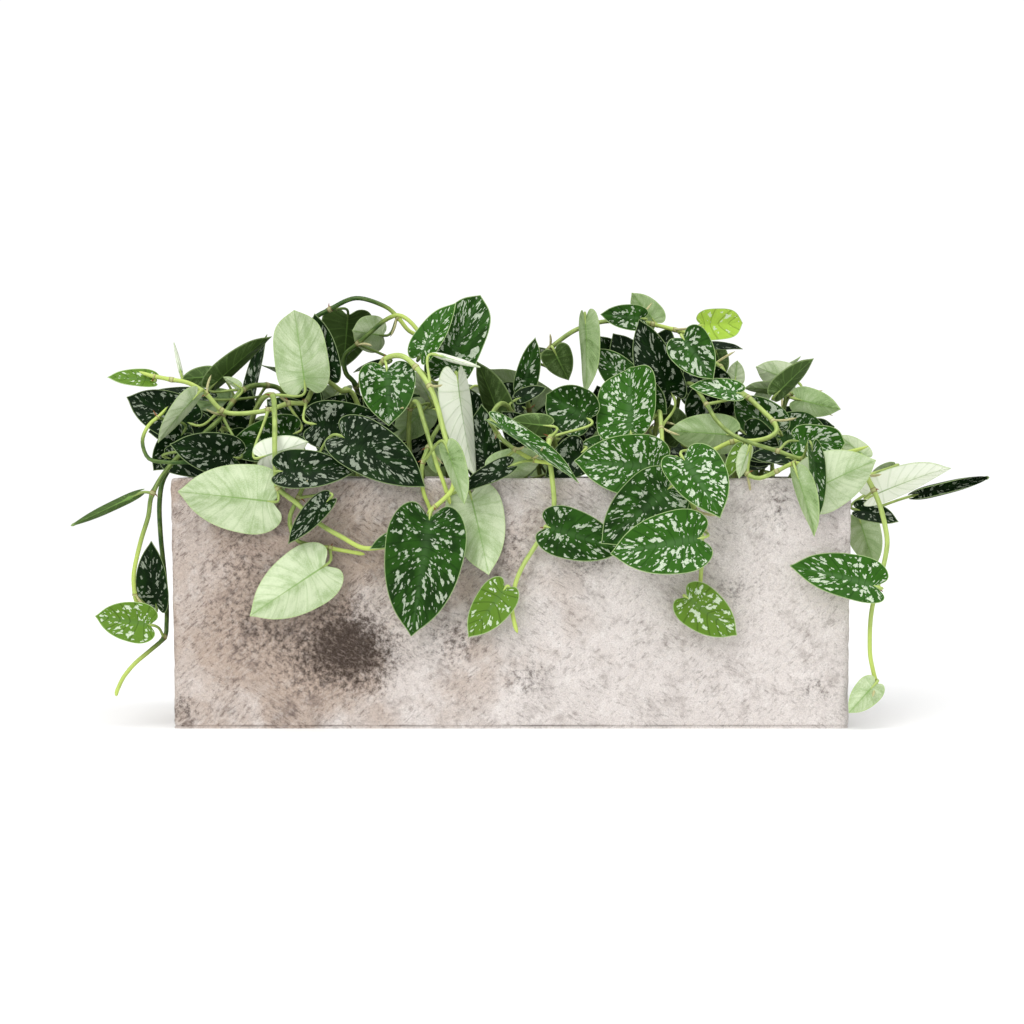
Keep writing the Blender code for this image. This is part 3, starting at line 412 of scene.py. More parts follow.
             leaf(-104, 268, -74, 296, 38, -10),
             leaf(-92, 254, -126, 240, 38, -34),
             leaf(-110, 234, -116, 256, 46, 22)), 0, DARK),
    VineRow("vine_crown_centre_left", (-30, 25), 2.2, 0.45,
            ((-30, 244, 20), (-34, 268, 10), (-44, 280, 0), (-62, 282, -10)),
            (leaf(-62, 268, -88, 230, 36, -46),
             leaf(-52, 272, -80, 304, 30, -4),
             leaf(-40, 262, -62, 232, 34, -30),
             leaf(-26, 260, -40, 304, 32, 8),
             leaf(-14, 232, -10, 252, 44, 30)), 0, DARK),
    VineRow("vine_crown_centre", (12, 8), 2.2, 0.45,
            ((14, 236, 2), (20, 250, -6), (36, 256, -14), (54, 254, -22)),
            (leaf(22, 248, -8, 280, 36, -34),
             leaf(52, 262, 78, 288, 36, -20),
             leaf(66, 252, 34, 230, 36, -44),
             leaf(26, 262, 54, 292, 34, 0),
             leaf(40, 232, 44, 252, 44, 20)), 0, DARK),
    VineRow("vine_crown_centre_right", (85, 22), 2.2, 0.45,
            ((86, 244, 18), (88, 276, 10), (98, 298, 8), (112, 306, 10), (124, 304, 14)),
            (leaf(114, 312, 90, 350, 36, -8),
             leaf(90, 268, 76, 304, 34, -8),
             leaf(126, 318, 140, 356, 30, 0),
             leaf(96, 322, 78, 348, 26, 14),
             leaf(96, 234, 102, 256, 46, 34)), 0, DARK),
    VineRow("vine_crown_right", (192, -18), 2.2, 0.45,
            ((194, 238, -18), (200, 254, -14), (216, 258, -10), (234, 250, -8)),
            (leaf(206, 262, 238, 238, 38, -62),
             leaf(196, 276, 162, 292, 36, -26),
             leaf(230, 250, 200, 238, 32, -74),
             leaf(236, 250, 270, 242, 34, -12),
             leaf(206, 232, 212, 252, 44, 10)), 0, DARK),
    VineRow("vine_crown_inner_right", (158, 62), 2.2, 0.45,
            ((160, 244, 58), (164, 280, 40), (170, 302, 26), (166, 318, 14), (156, 326, 8)),
            (leaf(172, 308, 154, 346, 36, 12),
             leaf(176, 292, 146, 306, 34, 30),
             leaf(156, 234, 150, 256, 44, 50)), 0, DARK),
    VineRow("vine_crown_far_right", (252, 52), 2.2, 0.45,
            ((256, 238, 48), (264, 248, 42), (278, 250, 36), (290, 244, 30)),
            (leaf(262, 256, 288, 268, 32, 20),
             leaf(284, 246, 312, 236, 28, 10),
             leaf(256, 262, 238, 286, 30, 30),
             leaf(262, 232, 266, 250, 42, 34)), 0, DARK),
)


class Form(Enum):
    """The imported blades' forms, each with the corners that tell where a blade lies.

    A corner is a share of the length from the sinus, and a share of the half width.
    """

    FINE = ((1.0, 0), (0.20, 1.0), (0.20, -1.0), (-0.10, 0.36), (0.54, 0.88))
    PLAIN = ((1.0, 0), (0.12, 1.0), (0.12, -1.0), (-0.10, 0.48))
    BLUNT = ((1.0, 0), (0.20, 1.0), (0.20, -1.0), (-0.10, 0.36), (0.90, 0.62))


@dataclass(frozen=True)
class Blade:
    """A leaf blade in place: its sinus, its ways along and out of its top side, and its size in mm."""

    base: Vector
    along: Vector
    normal: Vector
    length: float
    width: float
    form: Form

    def point(self, u: float, v: float, lift: float) -> Vector:
        """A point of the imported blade.

        Args:
            u: Share of the length, from the sinus.
            v: Share of the half width, from -1 to 1.
            lift: Height above the middle surface in mm.

        Returns:
            The point in mm.
        """
        side = self.along.cross(self.normal)
        half = abs(v) * self.width / 2
        rise = half * math.sin(LeafForm.FOLD) - LeafForm.ARCH * self.length * u * u + lift
        reach = math.copysign(half * math.cos(LeafForm.FOLD), v)
        return self.base + self.along * (u * self.length) + side * reach + self.normal * rise


class LeafForm:
    """The heart shape that every blade has, as shares of its length and half width."""

    FOLD = math.radians(15)
    ARCH = 0.07
    THICK = 0.9
    FINE_LENGTH = 54
    LOBE = ((0.01, 0.05), (-0.045, 0.16), (-0.10, 0.36), (-0.095, 0.58), (-0.03, 0.80), (0.08, 0.95),
            (0.20, 1.0))
    POINTED = LOBE + ((0.36, 0.97), (0.52, 0.89), (0.67, 0.74), (0.80, 0.53), (0.89, 0.31), (0.95, 0.135),
                      (1.0, 0.012))
    ROUNDED = LOBE + ((0.36, 1.0), (0.52, 0.98), (0.67, 0.93), (0.80, 0.80), (0.89, 0.57), (0.95, 0.29),
                      (0.985, 0.09), (1.0, 0.015))
    OUTLINE_STEP = 0.01
    ROLLED = 0.25

    SLIM_BELOW = 0.6
    SLIM = 0.70
    BROAD_ABOVE = 0.9
    BROAD = 0.86

    @staticmethod
    def margin(form: Form, count: int) -> tuple[np.ndarray, np.ndarray, np.ndarray]:
        """The right-hand margin from the sinus to the tip.

        Args:
            form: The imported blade's form.
            count: Number of points.

        Returns:
            Each point's share of the length, of the half width and of the way round.
        """
        outline = LeafForm.ROUNDED if form is Form.BLUNT else LeafForm.POINTED
        path = spline([Vector((u, v, 0)) for u, v in outline], LeafForm.OUTLINE_STEP)
        points = np.array([(p.x, p.y) for p in path])
        steps = np.hypot(*np.diff(points, axis=0).T)
        way = np.concatenate(([0], np.cumsum(steps)))
        share = np.linspace(0, 1, count)
        along, across = (np.interp(share * way[-1], way, column) for column in points.T)
        return along, across, share


def on_sheet(x: float, z: float, depth: float) -> Vector:
    """The point at a depth that the eye sees at (x, z) on the sheet, in mm."""
    return EYE + (Vector((x, SHEET_Y, z)) - EYE) * ((depth - EYE.y) / (SHEET_Y - EYE.y))


def spline(points: Sequence[Vector], step: float) -> list[Vector]:
    """Points about a step apart along one smooth curve through all the given points.

    Args:
        points: The points that the curve goes through.
        step: Greatest spacing of the points returned.

    Returns:
        The points of the curve, ends included.
    """
    path = [points[0]]
    for i in range(len(points) - 1):
        before = points[max(i - 1, 0)]
        here = points[i]
        there = points[i + 1]
        after = points[min(i + 2, len(points) - 1)]
        count = max(1, round((there - here).length / step))
        for k in range(1, count + 1):
            t = k / count
            path.append(0.5 * (2 * here + (there - before) * t
                               + (2 * before - 5 * here + 4 * there - after) * t ** 2
                               + (3 * here - before - 3 * there + after) * t ** 3))
    return path


def upright(along: Vector, normal: Vector, x: float) -> float:
    """How much a blade's top side faces up, or else outwards along the trough."""
    return normal.z + 0.3 * normal.x * math.copysign(1, x)


def drawn_blade(row: DrawnLeaf, slide: float, lean: float, twist: float) -> Blade:
    """The blade of a drawn leaf.

    Args:
        row: The leaf as drawn.
        slide: How far it is moved in depth, in mm.
        lean: How far its tip is moved in depth besides, in mm.
        twist: How far its face is turned about its length, in degrees.

    Returns:
        The blade in place.
    """
    seen = math.dist(row.base, row.tip)
    face = row.side.value
    natural = 0.0
    width = row.width
    turn = 0.0
    if width > LeafForm.BROAD_ABOVE * seen:
        up = math.copysign(1, row.tip[1] - row.base[1])
        natural = up * face * math.sqrt((width / LeafForm.BROAD) ** 2 - seen ** 2)
    elif width < LeafForm.SLIM_BELOW * seen and not row.blunt:
        width = (width + LeafForm.SLIM * seen) / 2
        turn = math.acos(row.width / width)
    base = on_sheet(*row.base, row.depth + slide)
    tip = on_sheet(*row.tip, row.depth + slide + natural + row.lean + lean)
    along = (tip - base).normalized()
    sight = EYE - base
    facing = (sight - along * sight.dot(along)).normalized() * face
    sides = [Matrix.Rotation(angle, 3, along) @ facing for angle in (turn, -turn)]
    normal = max(sides, key=lambda side: upright(along, side, base.x))
    normal = Matrix.Rotation(math.radians(twist), 3, along) @ normal
    form = Form.BLUNT if row.blunt else Form.FINE if seen > LeafForm.FINE_LENGTH else Form.PLAIN
    return Blade(base, along, normal, (tip - base).length, width, form)


@dataclass(frozen=True)
class Planting:
    """How leaves grow by rule along a stem, in mm and in shares of each way."""

    spacing: float = 31
    stem_step: float = 22
    sizes: tuple[float, float] = (52, 82)
    widths: tuple[float, float] = (0.70, 0.80)
    stalks: tuple[float, float] = (10, 18)
    stalk_lift: float = 8
    spread: tuple[float, float] = (0.5, 0.9)
    forward: float = 0.3
    raised: tuple[float, float] = (0.2, 0.5)
    droop: float = 0.5
    facing: tuple[tuple[float, float], ...] = ((-0.3, 0.3), (-0.7, -0.1), (0.1, 0.5))
    first_node: int = 3
    core: Triple = (270, 60, 235)

    def outward(self, point: Vector) -> Vector:
        """The way out of the planting at a point.

        Args:
            point: The point in mm.

        Returns:
            A way one unit long.
        """
        half_x, half_y, top = self.core
        near_x = max(-half_x, min(half_x, point.x))
        near_y = max(-half_y, min(half_y, point.y))
        return (point - Vector((near_x, near_y, min(top, point.z)))).normalized()

    def seedlings(self, count: int, path: Sequence[Vector], rng: random.Random) -> list[Blade]:
        """Leaves that grow by rule to either side of a stem.

        Args:
            count: Number of leaves.
            path: The stem's nodes in mm.
            rng: The vine's own random numbers.

        Returns:
            The blades before they are moved clear of the rest.
        """
        grown = []
        for i in range(count):
            k = min(len(path) - 1, self.first_node + round(i * self.spacing / self.stem_step))
            ahead = (path[min(k + 1, len(path) - 1)] - path[k - 1]).normalized()
            out = self.outward(path[k])
            side = ahead.cross(out).normalized() * (1 if i % 2 else -1)
            length = rng.uniform(*self.sizes)
            along = side * rng.uniform(*self.spread) + ahead * self.forward + out * rng.uniform(*self.raised)
            along = (along - Vector((0, 0, self.droop))).normalized()
            normal = out + Vector([rng.uniform(*span) for span in self.facing])
            normal = (normal - along * normal.dot(along)).normalized()
            base = path[k] + side * rng.uniform(*self.stalks) + out * self.stalk_lift
            grown.append(Blade(base, along, normal, length, length * rng.uniform(*self.widths), Form.PLAIN))
        return grown

    def grown_blade(self, seedling: Blade, slide: float, lean: float, twist: float) -> Blade:
        """The blade of a leaf that grew by rule.

        Args:
            seedling: The blade before it is moved.
            slide: How far it is moved outwards, in mm.
            lean: How far its tip is moved outwards besides, in mm.
            twist: How far its face is turned about its length, in degrees.

        Returns:
            The blade in place.
        """
        out = self.outward(seedling.base)
        base = seedling.base + out * slide
        tip = base + seedling.along * seedling.length + out * lean
        along = (tip - base).normalized()
        normal = (seedling.normal - along * seedling.normal.dot(along)).normalized()
        normal = Matrix.Rotation(math.radians(twist), 3, along) @ normal
        return Blade(base, along, normal, (tip - base).length, seedling.width, Form.PLAIN)


class Skin(Enum):
    """The surfaces of a vine, numbered as its material slots are."""

    TOP = 0
    UNDER = 1
    STEM = 2
    ROOT = 3


class Patches:
    """Collects sheets of corners, with the marks that their materials read, into one mesh."""

    MARKS = ("grain", "place", "tint")

    def __init__(self) -> None:
        """Starts with nothing collected."""
        self.corners: list[np.ndarray] = []
        self.faces: list[np.ndarray] = []
        self.skins: list[np.ndarray] = []
        self.marks: dict[str, list[np.ndarray]] = {mark: [] for mark in self.MARKS}
        self.count = 0

    def add(self, corners: np.ndarray, faces: np.ndarray, skin: int,
            marks: dict[str, np.ndarray]) -> None:
        """Adds one sheet.

        Args:
            corners: Its corners in mm, one row each.
            faces: Its four-sided faces, as rows of corner numbers.
            skin: The number of its material slot.
            marks: For each mark, a row for each corner or one row for all.
        """
        self.corners.append(corners)
        self.faces.append(faces + self.count)
        self.skins.append(np.full(len(faces), skin, dtype=np.int32))
        for mark in self.MARKS:
            self.marks[mark].append(np.broadcast_to(marks.get(mark, np.zeros(3)), corners.shape))
        self.count += len(corners)

    def to_object(self, name: str, surfaces: Sequence[bpy.types.Material]) -> bpy.types.Object:
        """Makes one object of all the sheets, with smooth faces.

        Args:
            name: The object's name.
            surfaces: Its materials, in slot order.

        Returns:
            The object, linked to the scene.
        """
        mesh = bpy.data.meshes.new(name)
        corners = np.concatenate(self.corners) * MM
        faces = np.concatenate(self.faces)
        mesh.from_pydata(corners.tolist(), [], faces.tolist())
        mesh.polygons.foreach_set("material_index", np.concatenate(self.skins))
        mesh.polygons.foreach_set("use_smooth", np.ones(len(faces), dtype=bool))
        for mark in self.MARKS:
            layer = mesh.attributes.new(mark, 'FLOAT_VECTOR', 'POINT')
            values = np.concatenate(self.marks[mark]).astype(np.float32)
            layer.data.foreach_set("vector", values.ravel())
        for surface in surfaces:
            mesh.materials.append(surface)
        made = bpy.data.objects.new(name, mesh)
        bpy.context.scene.collection.objects.link(made)
        return made


def grid_faces(rows: int, columns: int, closed: bool = False) -> np.ndarray:
    """Four-sided faces of a grid of corners.

    Args:
        rows: Number of rows of corners.
        columns: Number of corners in a row.
        closed: Whether each row is a ring.

    Returns:
        The faces as rows of corner numbers.
    """
    row = np.arange(rows - 1)[:, None] * columns
    across = np.arange(columns if closed else columns - 1)[None, :]
    after = (across + 1) % columns
    above = row + columns
    return np.stack([row + across, row + after, above + after, above + across], -1).reshape(-1, 4)


def rings(path: Sequence[Vector], radii: Sequence[float], sides: int, across: Vector) -> np.ndarray:
    """Rings of corners round a path, each turned as little as it can be from the one before.

    Args:
        path: The middle of each ring.
        radii: Each ring's radius.
        sides: Corners in a ring.
        across: The way to the first corner of the first ring.

    Returns:
        An array of rings by corners by three.
    """
    angles = np.arange(sides) * (2 * math.pi / sides)
    made = []
    for i, point in enumerate(path):
        ahead = (path[min(i + 1, len(path) - 1)] - path[max(i - 1, 0)]).normalized()
        across = (across - ahead * across.dot(ahead)).normalized()
        other = ahead.cross(across)
        spokes = np.outer(np.cos(angles), across) + np.outer(np.sin(angles), other)
        made.append(np.array(point) + radii[i] * spokes)
    return np.array(made)


def add_tube(patches: Patches, path: Sequence[Vector], radii: Sequence[float], sides: int, skin: Skin,
             place: np.ndarray, tint: Sequence[float], seed: float) -> None:
    """Adds a round tube whose ends are drawn together.

    Args:
        patches: The mesh that it goes into.
        path: The tube's middle line in mm.
        radii: Its radius at each point.
        sides: Number of sides.
        skin: Its surface.
        place: A mark for each point of the path.
        tint: Its colouring.
        seed: A number that sets its grain apart from others.
    """
    start = path[0] + (path[0] - path[1]) * TUBE_END_REACH
    finish = path[-1] + (path[-1] - path[-2]) * TUBE_END_REACH
    ends = [start, *path, finish]
    widths = [radii[0] * TUBE_END_RADIUS, *radii, radii[-1] * TUBE_END_RADIUS]
    corners = rings(ends, widths, sides, (path[1] - path[0]).orthogonal())
    way = np.cumsum([0] + [(b - a).length for a, b in zip(ends, ends[1:])])
    turn = np.arange(sides) / sides
    around = np.sin(turn * 2 * math.pi)[None, :] * TUBE_GRAIN
    grain = np.stack(np.broadcast_arrays(around, way[:, None], seed), -1)
    marks = np.concatenate((place[:1], place, place[-1:]))
    marks = np.repeat(marks[:, None, :], sides, axis=1)
    patches.add(corners.reshape(-1, 3), grid_faces(len(ends), sides, True), skin.value,
                {"grain": grain.reshape(-1, 3), "place": marks.reshape(-1, 3), "tint": np.array(tint)})


@dataclass
class Leaf:
    """One leaf in place: its blade, the stem's node that its stalk leaves, and its colouring."""

    blade: Blade
    node: Vector
    tint: Tint
    seed: float
    tone: float
    rows: int = 34
    columns: int = 9
    thick: float = 0.75
    stalk_radius: float = 1.25
    stalk_sides: int = 8
    stalk_reach: float = 14
    roll: float = 2.3

    VEIN_START = 2.2
    VEIN_CURVE = 1.35
    VEINS = 7
    VEIN_PACE = 1.25
    CROWDING = 1.15
    RIB_ROUND = 2.5
    QUILT = 0.22
    WAVE_HEIGHTS = (0.008, 0.02)
    WAVE_COUNTS = (1.6, 2.6)
    DROOPS = (0.0, 0.5)
    DROOP_START = 0.72
    SICKLES = (-0.025, 0.025)
    ROLLED_CORE = 0.3
    GROOVE = (0.25, 1.2)
    RIDGE = (0.6, 1.0)
    THINNING = 0.55
    SEED_STEP = 7.3

    def build(self, patches: Patches) -> None:
        """Adds the blade and its stalk to a vine's mesh."""
        self.build_blade(patches, random.Random(self.seed))
        self.build_stalk(patches)

    def build_blade(self, patches: Patches, rng: random.Random) -> None:
        """Adds the blade: a top and an underside on lines that follow its side veins, and a thin rim.

        Args:
            patches: The vine's mesh.
            rng: The leaf's own random numbers.
        """
        blade = self.blade
        out_u, out_v, share = LeafForm.margin(blade.form, self.rows)
        rib = share ** self.VEIN_START
        across = np.arange(-self.columns, self.columns + 1) / self.columns
        signed = np.sign(across) * np.abs(across) ** self.CROWDING
        reach = np.abs(signed)[None, :]
        u = rib[:, None] + (out_u - rib)[:, None] * reach ** self.VEIN_CURVE
        v = out_v[:, None] * signed[None, :]
        middle = self.middle_surface(u, v, share, signed, rng)
        if blade.width < LeafForm.ROLLED * blade.length:
            middle = self.rolled_surface(u, v, out_v)
        sheets = self.sheets(u, v, reach, *middle)
        wide = 2 * self.columns + 1
        top = grid_faces(self.rows, wide)
        under = top[:, ::-1] + len(sheets[0])
        rim = self.rim_faces(wide)
        veins, edge = self.measures(out_u, out_v, rib)
        grain = np.stack(np.broadcast_arrays(signed[None, :] * veins[:, None],
                                             share[:, None] * blade.length * self.VEIN_PACE,
                                             self.seed * self.SEED_STEP), -1)
        place = np.stack(np.broadcast_arrays(u, reach, (1 - reach) * edge[:, None]), -1)
        counts = [len(top), len(under), len(rim)]
        skins = np.repeat([Skin.TOP.value, Skin.UNDER.value, Skin.TOP.value], counts)
        patches.add(np.concatenate(sheets), np.concatenate((top, under, rim)), skins,
                    {"grain": np.tile(grain.reshape(-1, 3), (2, 1)),
                     "place": np.tile(place.reshape(-1, 3), (2, 1)),
                     "tint": np.array((self.tint.youth, self.tint.silver, self.tint.light))})

    def middle_surface(self, u: np.ndarray, v: np.ndarray, share: np.ndarray, signed: np.ndarray,
                       rng: random.Random) -> tuple[np.ndarray, np.ndarray]:
        """The blade's middle: folded, arched, waved at its margin, and quilted between its veins.

        Args:
            u: Each point's share of the length.
            v: Each point's share of the half width.
            share: Each vein's share of the way round the margin.
            signed: Each column's share of a vein, below 0 on the left.
            rng: The leaf's own random numbers.

        Returns:
            How far each point lies to the side and out of the top, in mm.
        """
        blade = self.blade
        reach = np.abs(signed)[None, :]
        half = np.abs(v) * blade.width / 2
        fold = math.sin(LeafForm.FOLD) * (np.hypot(half, self.RIB_ROUND) - self.RIB_ROUND)
        arch = -LeafForm.ARCH * blade.length * u * u
        turn = np.where(signed < 0, rng.uniform(0, 1), rng.uniform(0, 1))[None, :] + share[:, None]
        height = blade.width * rng.uniform(*self.WAVE_HEIGHTS)
        wave = height * reach ** 2 * np.sin(2 * math.pi * rng.uniform(*self.WAVE_COUNTS) * turn)
        swell = np.sin(2 * math.pi * self.VEINS * share)[:, None]
        quilt = self.QUILT * swell * 4 * reach * (1 - reach)
        droop = -rng.uniform(*self.DROOPS) * blade.length * np.clip(u - self.DROOP_START, 0, 1) ** 2
        sickle = rng.uniform(*self.SICKLES) * blade.length * np.clip(u, 0, 1) ** 2
        sideways = np.sign(v) * half * math.cos(LeafForm.FOLD) + sickle
        return sideways, fold + arch + wave * np.sin(math.pi * share)[:, None] + quilt + droop

    def rolled_surface(self, u: np.ndarray, v: np.ndarray,
                       out_v: np.ndarray) -> tuple[np.ndarray, np.ndarray]:
        """The middle of a slim blade, whose sides are rolled together.

        Args:
            u: Each point's share of the length.
            v: Each point's share of the half width.
            out_v: The margin's share of the half width, for each vein.

        Returns:
            How far each point lies to the side and out of the top, in mm.
        """
        half = self.blade.width / 2
        core = half * np.clip(np.abs(out_v), self.ROLLED_CORE, 1)[:, None]
        turns = np.abs(v) * self.roll * half / core
        arch = -LeafForm.ARCH * self.blade.length * u * u
        return np.sign(v) * core * np.sin(turns), arch + core * (1 - np.cos(turns))

    def sheets(self, u: np.ndarray, v: np.ndarray, reach: np.ndarray, sideways: np.ndarray,
               rise: np.ndarray) -> list[np.ndarray]:
        """The top and the underside, with the groove and the ridge of the rib.

        Args:
            u: Each point's share of the length.
            v: Each point's share of the half width.
            reach: Each column's share of a vein.
            sideways: How far the middle lies to the side, in mm.
            rise: How far the middle lies out of the top, in mm.

        Returns:
            The corners of the top and of the underside, in mm.
        """
        blade = self.blade
        half = np.abs(v) * blade.width / 2
        groove, ridge = (depth * np.exp(-(half / reach_out) ** 2) * (1 - u)
                         for depth, reach_out in (self.GROOVE, self.RIDGE))
        body = self.thick / 2 * (1 - self.THINNING * reach ** 4)
        ways = (blade.along, blade.along.cross(blade.normal), blade.normal)
        along, side, normal = (np.array(way) for way in ways)
        flat = np.array(blade.base) + u[..., None] * blade.length * along + sideways[..., None] * side
        lifts = (body - groove, -body - ridge)
        return [(flat + (rise + lift)[..., None] * normal).reshape(-1, 3) for lift in lifts]

    def rim_faces(self, wide: int) -> np.ndarray:
        """The faces that join the top to the underside round the margin.

        Args:
            wide: Number of corners in a row.

        Returns:
            The faces as rows of corner numbers.
        """
        count = self.rows * wide
        first = np.arange(wide)
        right = np.arange(1, self.rows) * wide + wide - 1
        last = np.arange(wide - 2, -1, -1) + (self.rows - 1) * wide
        left = np.arange(self.rows - 2, 0, -1) * wide
        loop = np.concatenate((first, right, last, left))
        after = np.roll(loop, -1)
        return np.stack((loop, loop + count, after + count, after), -1)

    def measures(self, out_u: np.ndarray, out_v: np.ndarray,
                 rib: np.ndarray) -> tuple[np.ndarray, np.ndarray]:
        """Each side vein's length, and how far it goes from the margin, in mm.

        Args:
            out_u: Where each vein meets the margin, as a share of the length.
            out_v: The same as a share of the half width.
            rib: Where each vein leaves the rib.

        Returns:
            The lengths, and the distances from the margin that the veins' starts lie at.
        """
        along = (out_u - rib) * self.blade.length
        sideways = out_v * self.blade.width / 2
        veins = np.hypot(along, sideways)
        margin_u = np.gradient(out_u * self.blade.length)
        margin_v = np.gradient(sideways)
        end_u = along * self.VEIN_CURVE
        crossing = np.abs(margin_u * sideways - margin_v * end_u)
        slant = crossing / (np.hypot(margin_u, margin_v) * np.hypot(end_u, sideways) + 1e-6)
        return veins, veins * slant

    def build_stalk(self, patches: Patches) -> None:
        """Adds the stalk, which clasps the stem and runs on under the rib.

        Args:
            patches: The vine's mesh.
        """
        blade = self.blade
        end = blade.base - blade.along * 1.2 - blade.normal * 0.3
        span = (end - self.node).length
        leave = self.node + (end - self.node) * 0.35
        arrive = end - blade.along * min(self.stalk_reach, span * 0.45)
        count = max(8, round(span / 3))
        path = []
        for k in range(count + 1):
            t = k / count
            s = 1 - t
            path.append(s ** 3 * self.node + 3 * s * s * t * leave + 3 * s * t * t * arrive + t ** 3 * end)
        path.append(blade.base + blade.along * 1.5 - blade.normal * 0.5)
        path.append(blade.base + blade.along * 6 - blade.normal * 0.75)
        way = np.linspace(0, 1, len(path))
        clasp = 0.45 * np.exp(-way / 0.12)
        knee = 0.22 * np.exp(-((way - 0.86) / 0.05) ** 2)
        radii = self.stalk_radius * (1 + clasp + knee)
        radii[-2:] = (self.stalk_radius * 0.8, self.stalk_radius * 0.35)
        place = np.stack(np.broadcast_arrays(way * span + 2.5, way, 1.0), -1)
        add_tube(patches, path, radii, self.stalk_sides, Skin.STEM, place,
                 (self.tint.youth, 0, self.tone * 0.8), self.seed)


@dataclass
class Stem:
    """A vine's round stem, swollen at its nodes, with its root nubs and the bud at its end."""

    path: list[Vector]
    radius: float
    tone: float
    seed: float
    nodes: list[Vector] = field(default_factory=list)
    sides: int = 12
    swelling: float = 0.38
    swelling_reach: float = 2.4
    taper: float = 0.22
    bud_length: float = 11
    bud_bend: float = 0.35
    bud_steps: int = 6
    nub_share: float = 0.55
    nub_lengths: tuple[float, float] = (3, 7)
    sheath_share: float = 0.3
    sheath_lengths: tuple[float, float] = (9, 19)

    NUB_RADII = (0.8, 0.75, 0.55, 0.2)
    SHEATH_STEPS = 6

    def build(self, patches: Patches) -> None:
        """Adds the stem and what grows on it to a vine's mesh.

        Args:
            patches: The vine's mesh.
        """
        rng = random.Random(self.seed)
        points = np.array(self.path)
        nodes = np.array(self.nodes) if self.nodes else points[-1:]
        near = np.min(np.linalg.norm(points[:, None, :] - nodes[None, :, :], axis=2), axis=1)
        way = np.linspace(0, 1, len(points))
        swollen = 1 + self.swelling * np.exp(-(near / self.swelling_reach) ** 2)
        radii = self.radius * (1 - self.taper * way ** 2) * swollen
        place = np.stack(np.broadcast_arrays(near, way, 0.0), -1)
        add_tube(patches, self.path, radii, self.sides, Skin.STEM, place, (0, 0, self.tone), self.seed)
        self.build_bud(patches, rng)
        for node in self.nodes:
            self.build_nubs(patches, node, rng)

    def build_bud(self, patches: Patches, rng: random.Random) -> None:
        """Adds the rolled young leaf at the stem's end.

        Args:
            patches: The vine's mesh.
            rng: The stem's own random numbers.
        """
        end = self.path[-1]
        ahead = (end - self.path[-3]).normalized()
        bend = Vector((rng.uniform(-1, 1), rng.uniform(-1, 0.2), rng.uniform(-0.4, 1))) * self.bud_bend
        steps = [k / self.bud_steps for k in range(self.bud_steps + 1)]
        path = [end + (ahead * t + bend * t * t) * self.bud_length for t in steps]
        radii = [self.radius * 0.75 * (1 - t) ** 0.6 * (1 + 0.8 * t) + 0.12 for t in steps]
        place = np.stack(np.broadcast_arrays(np.array(steps) * 8 + 3, np.array(steps), 1.0), -1)
        add_tube(patches, path, radii, 8, Skin.STEM, place, (1, 0, 0), self.seed + 0.5)

    def build_nubs(self, patches: Patches, node: Vector, rng: random.Random) -> None:
        """Adds the root nubs and the papery sheath of one node, where it has them.

        Args:
            patches: The vine's mesh.
            node: The node's middle in mm.
            rng: The stem's own random numbers.
        """
        near = min(range(1, len(self.path) - 1), key=lambda k: (self.path[k] - node).length)
        ahead = (self.path[near + 1] - self.path[near - 1]).normalized()
        draws = [rng.random() for _ in range(6)]
        if draws[0] < self.nub_share:
            out = self.turned(ahead, draws[1])
            length = self.between(self.nub_lengths, draws[2])
            last = len(self.NUB_RADII) - 1
            path = [node + out * (self.radius * 0.6 + length * k / last) + ahead * (0.5 * k * k / last)
                    for k in range(last + 1)]
            add_tube(patches, path, self.NUB_RADII, 6, Skin.ROOT, np.zeros((last + 1, 3)), (0, 0, 0),
                     self.seed + draws[2])
        if draws[3] < self.sheath_share:
            out = self.turned(ahead, draws[4])
            length = self.between(self.sheath_lengths, draws[5])
            last = self.SHEATH_STEPS
            way = ahead * 0.8 + out * 0.5
            path = [node + way * (length * k / last) + out * (self.radius + 0.25 * k * k)
                    for k in range(last + 1)]
            radii = [0.5 + 0.7 * math.sin(math.pi * (k + 1) / (last + 2)) for k in range(last + 1)]
            radii[-1] = 0.15
            add_tube(patches, path, radii, 6, Skin.ROOT, np.zeros((last + 1, 3)), (0, 0, 1),
                     self.seed + draws[5])

    @staticmethod
    def between(ends: tuple[float, float], share: float) -> float:
        """The value at a share of the way from one end to the other."""
        return ends[0] + (ends[1] - ends[0]) * share

    @staticmethod
    def turned(ahead: Vector, share: float) -> Vector:
        """A way square to a stem, turned about it by a share of a full turn."""
        return Matrix.Rotation(2 * math.pi * share, 3, ahead) @ ahead.orthogonal().normalized()


class PackedSolid:
    """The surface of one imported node, to match the pieces that stand for it."""

    TOLERANCE = 0.08

    def __init__(self, node: bpy.types.Object) -> None:
        """Takes the node's mesh where it lies.

        Args:
            node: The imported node's object.
        """
        corners = [node.matrix_world @ corner.co for corner in node.data.vertices]
        faces = [tuple(face.vertices) for face in node.data.polygons]
        self.tree = BVHTree.FromPolygons(corners, faces)

    def distance(self, point: Vector) -> float:
        """How far a point in mm is from the surface, in mm."""
        return self.tree.find_nearest(point * MM)[3] / MM

    def carries(self, blade: Blade) -> bool:
        """Whether the corners of a blade lie on the surface."""
        corners = (blade.point(u, v, LeafForm.THICK / 2) for u, v in blade.form.value)
        return all(self.distance(corner) < self.TOLERANCE for corner in corners)


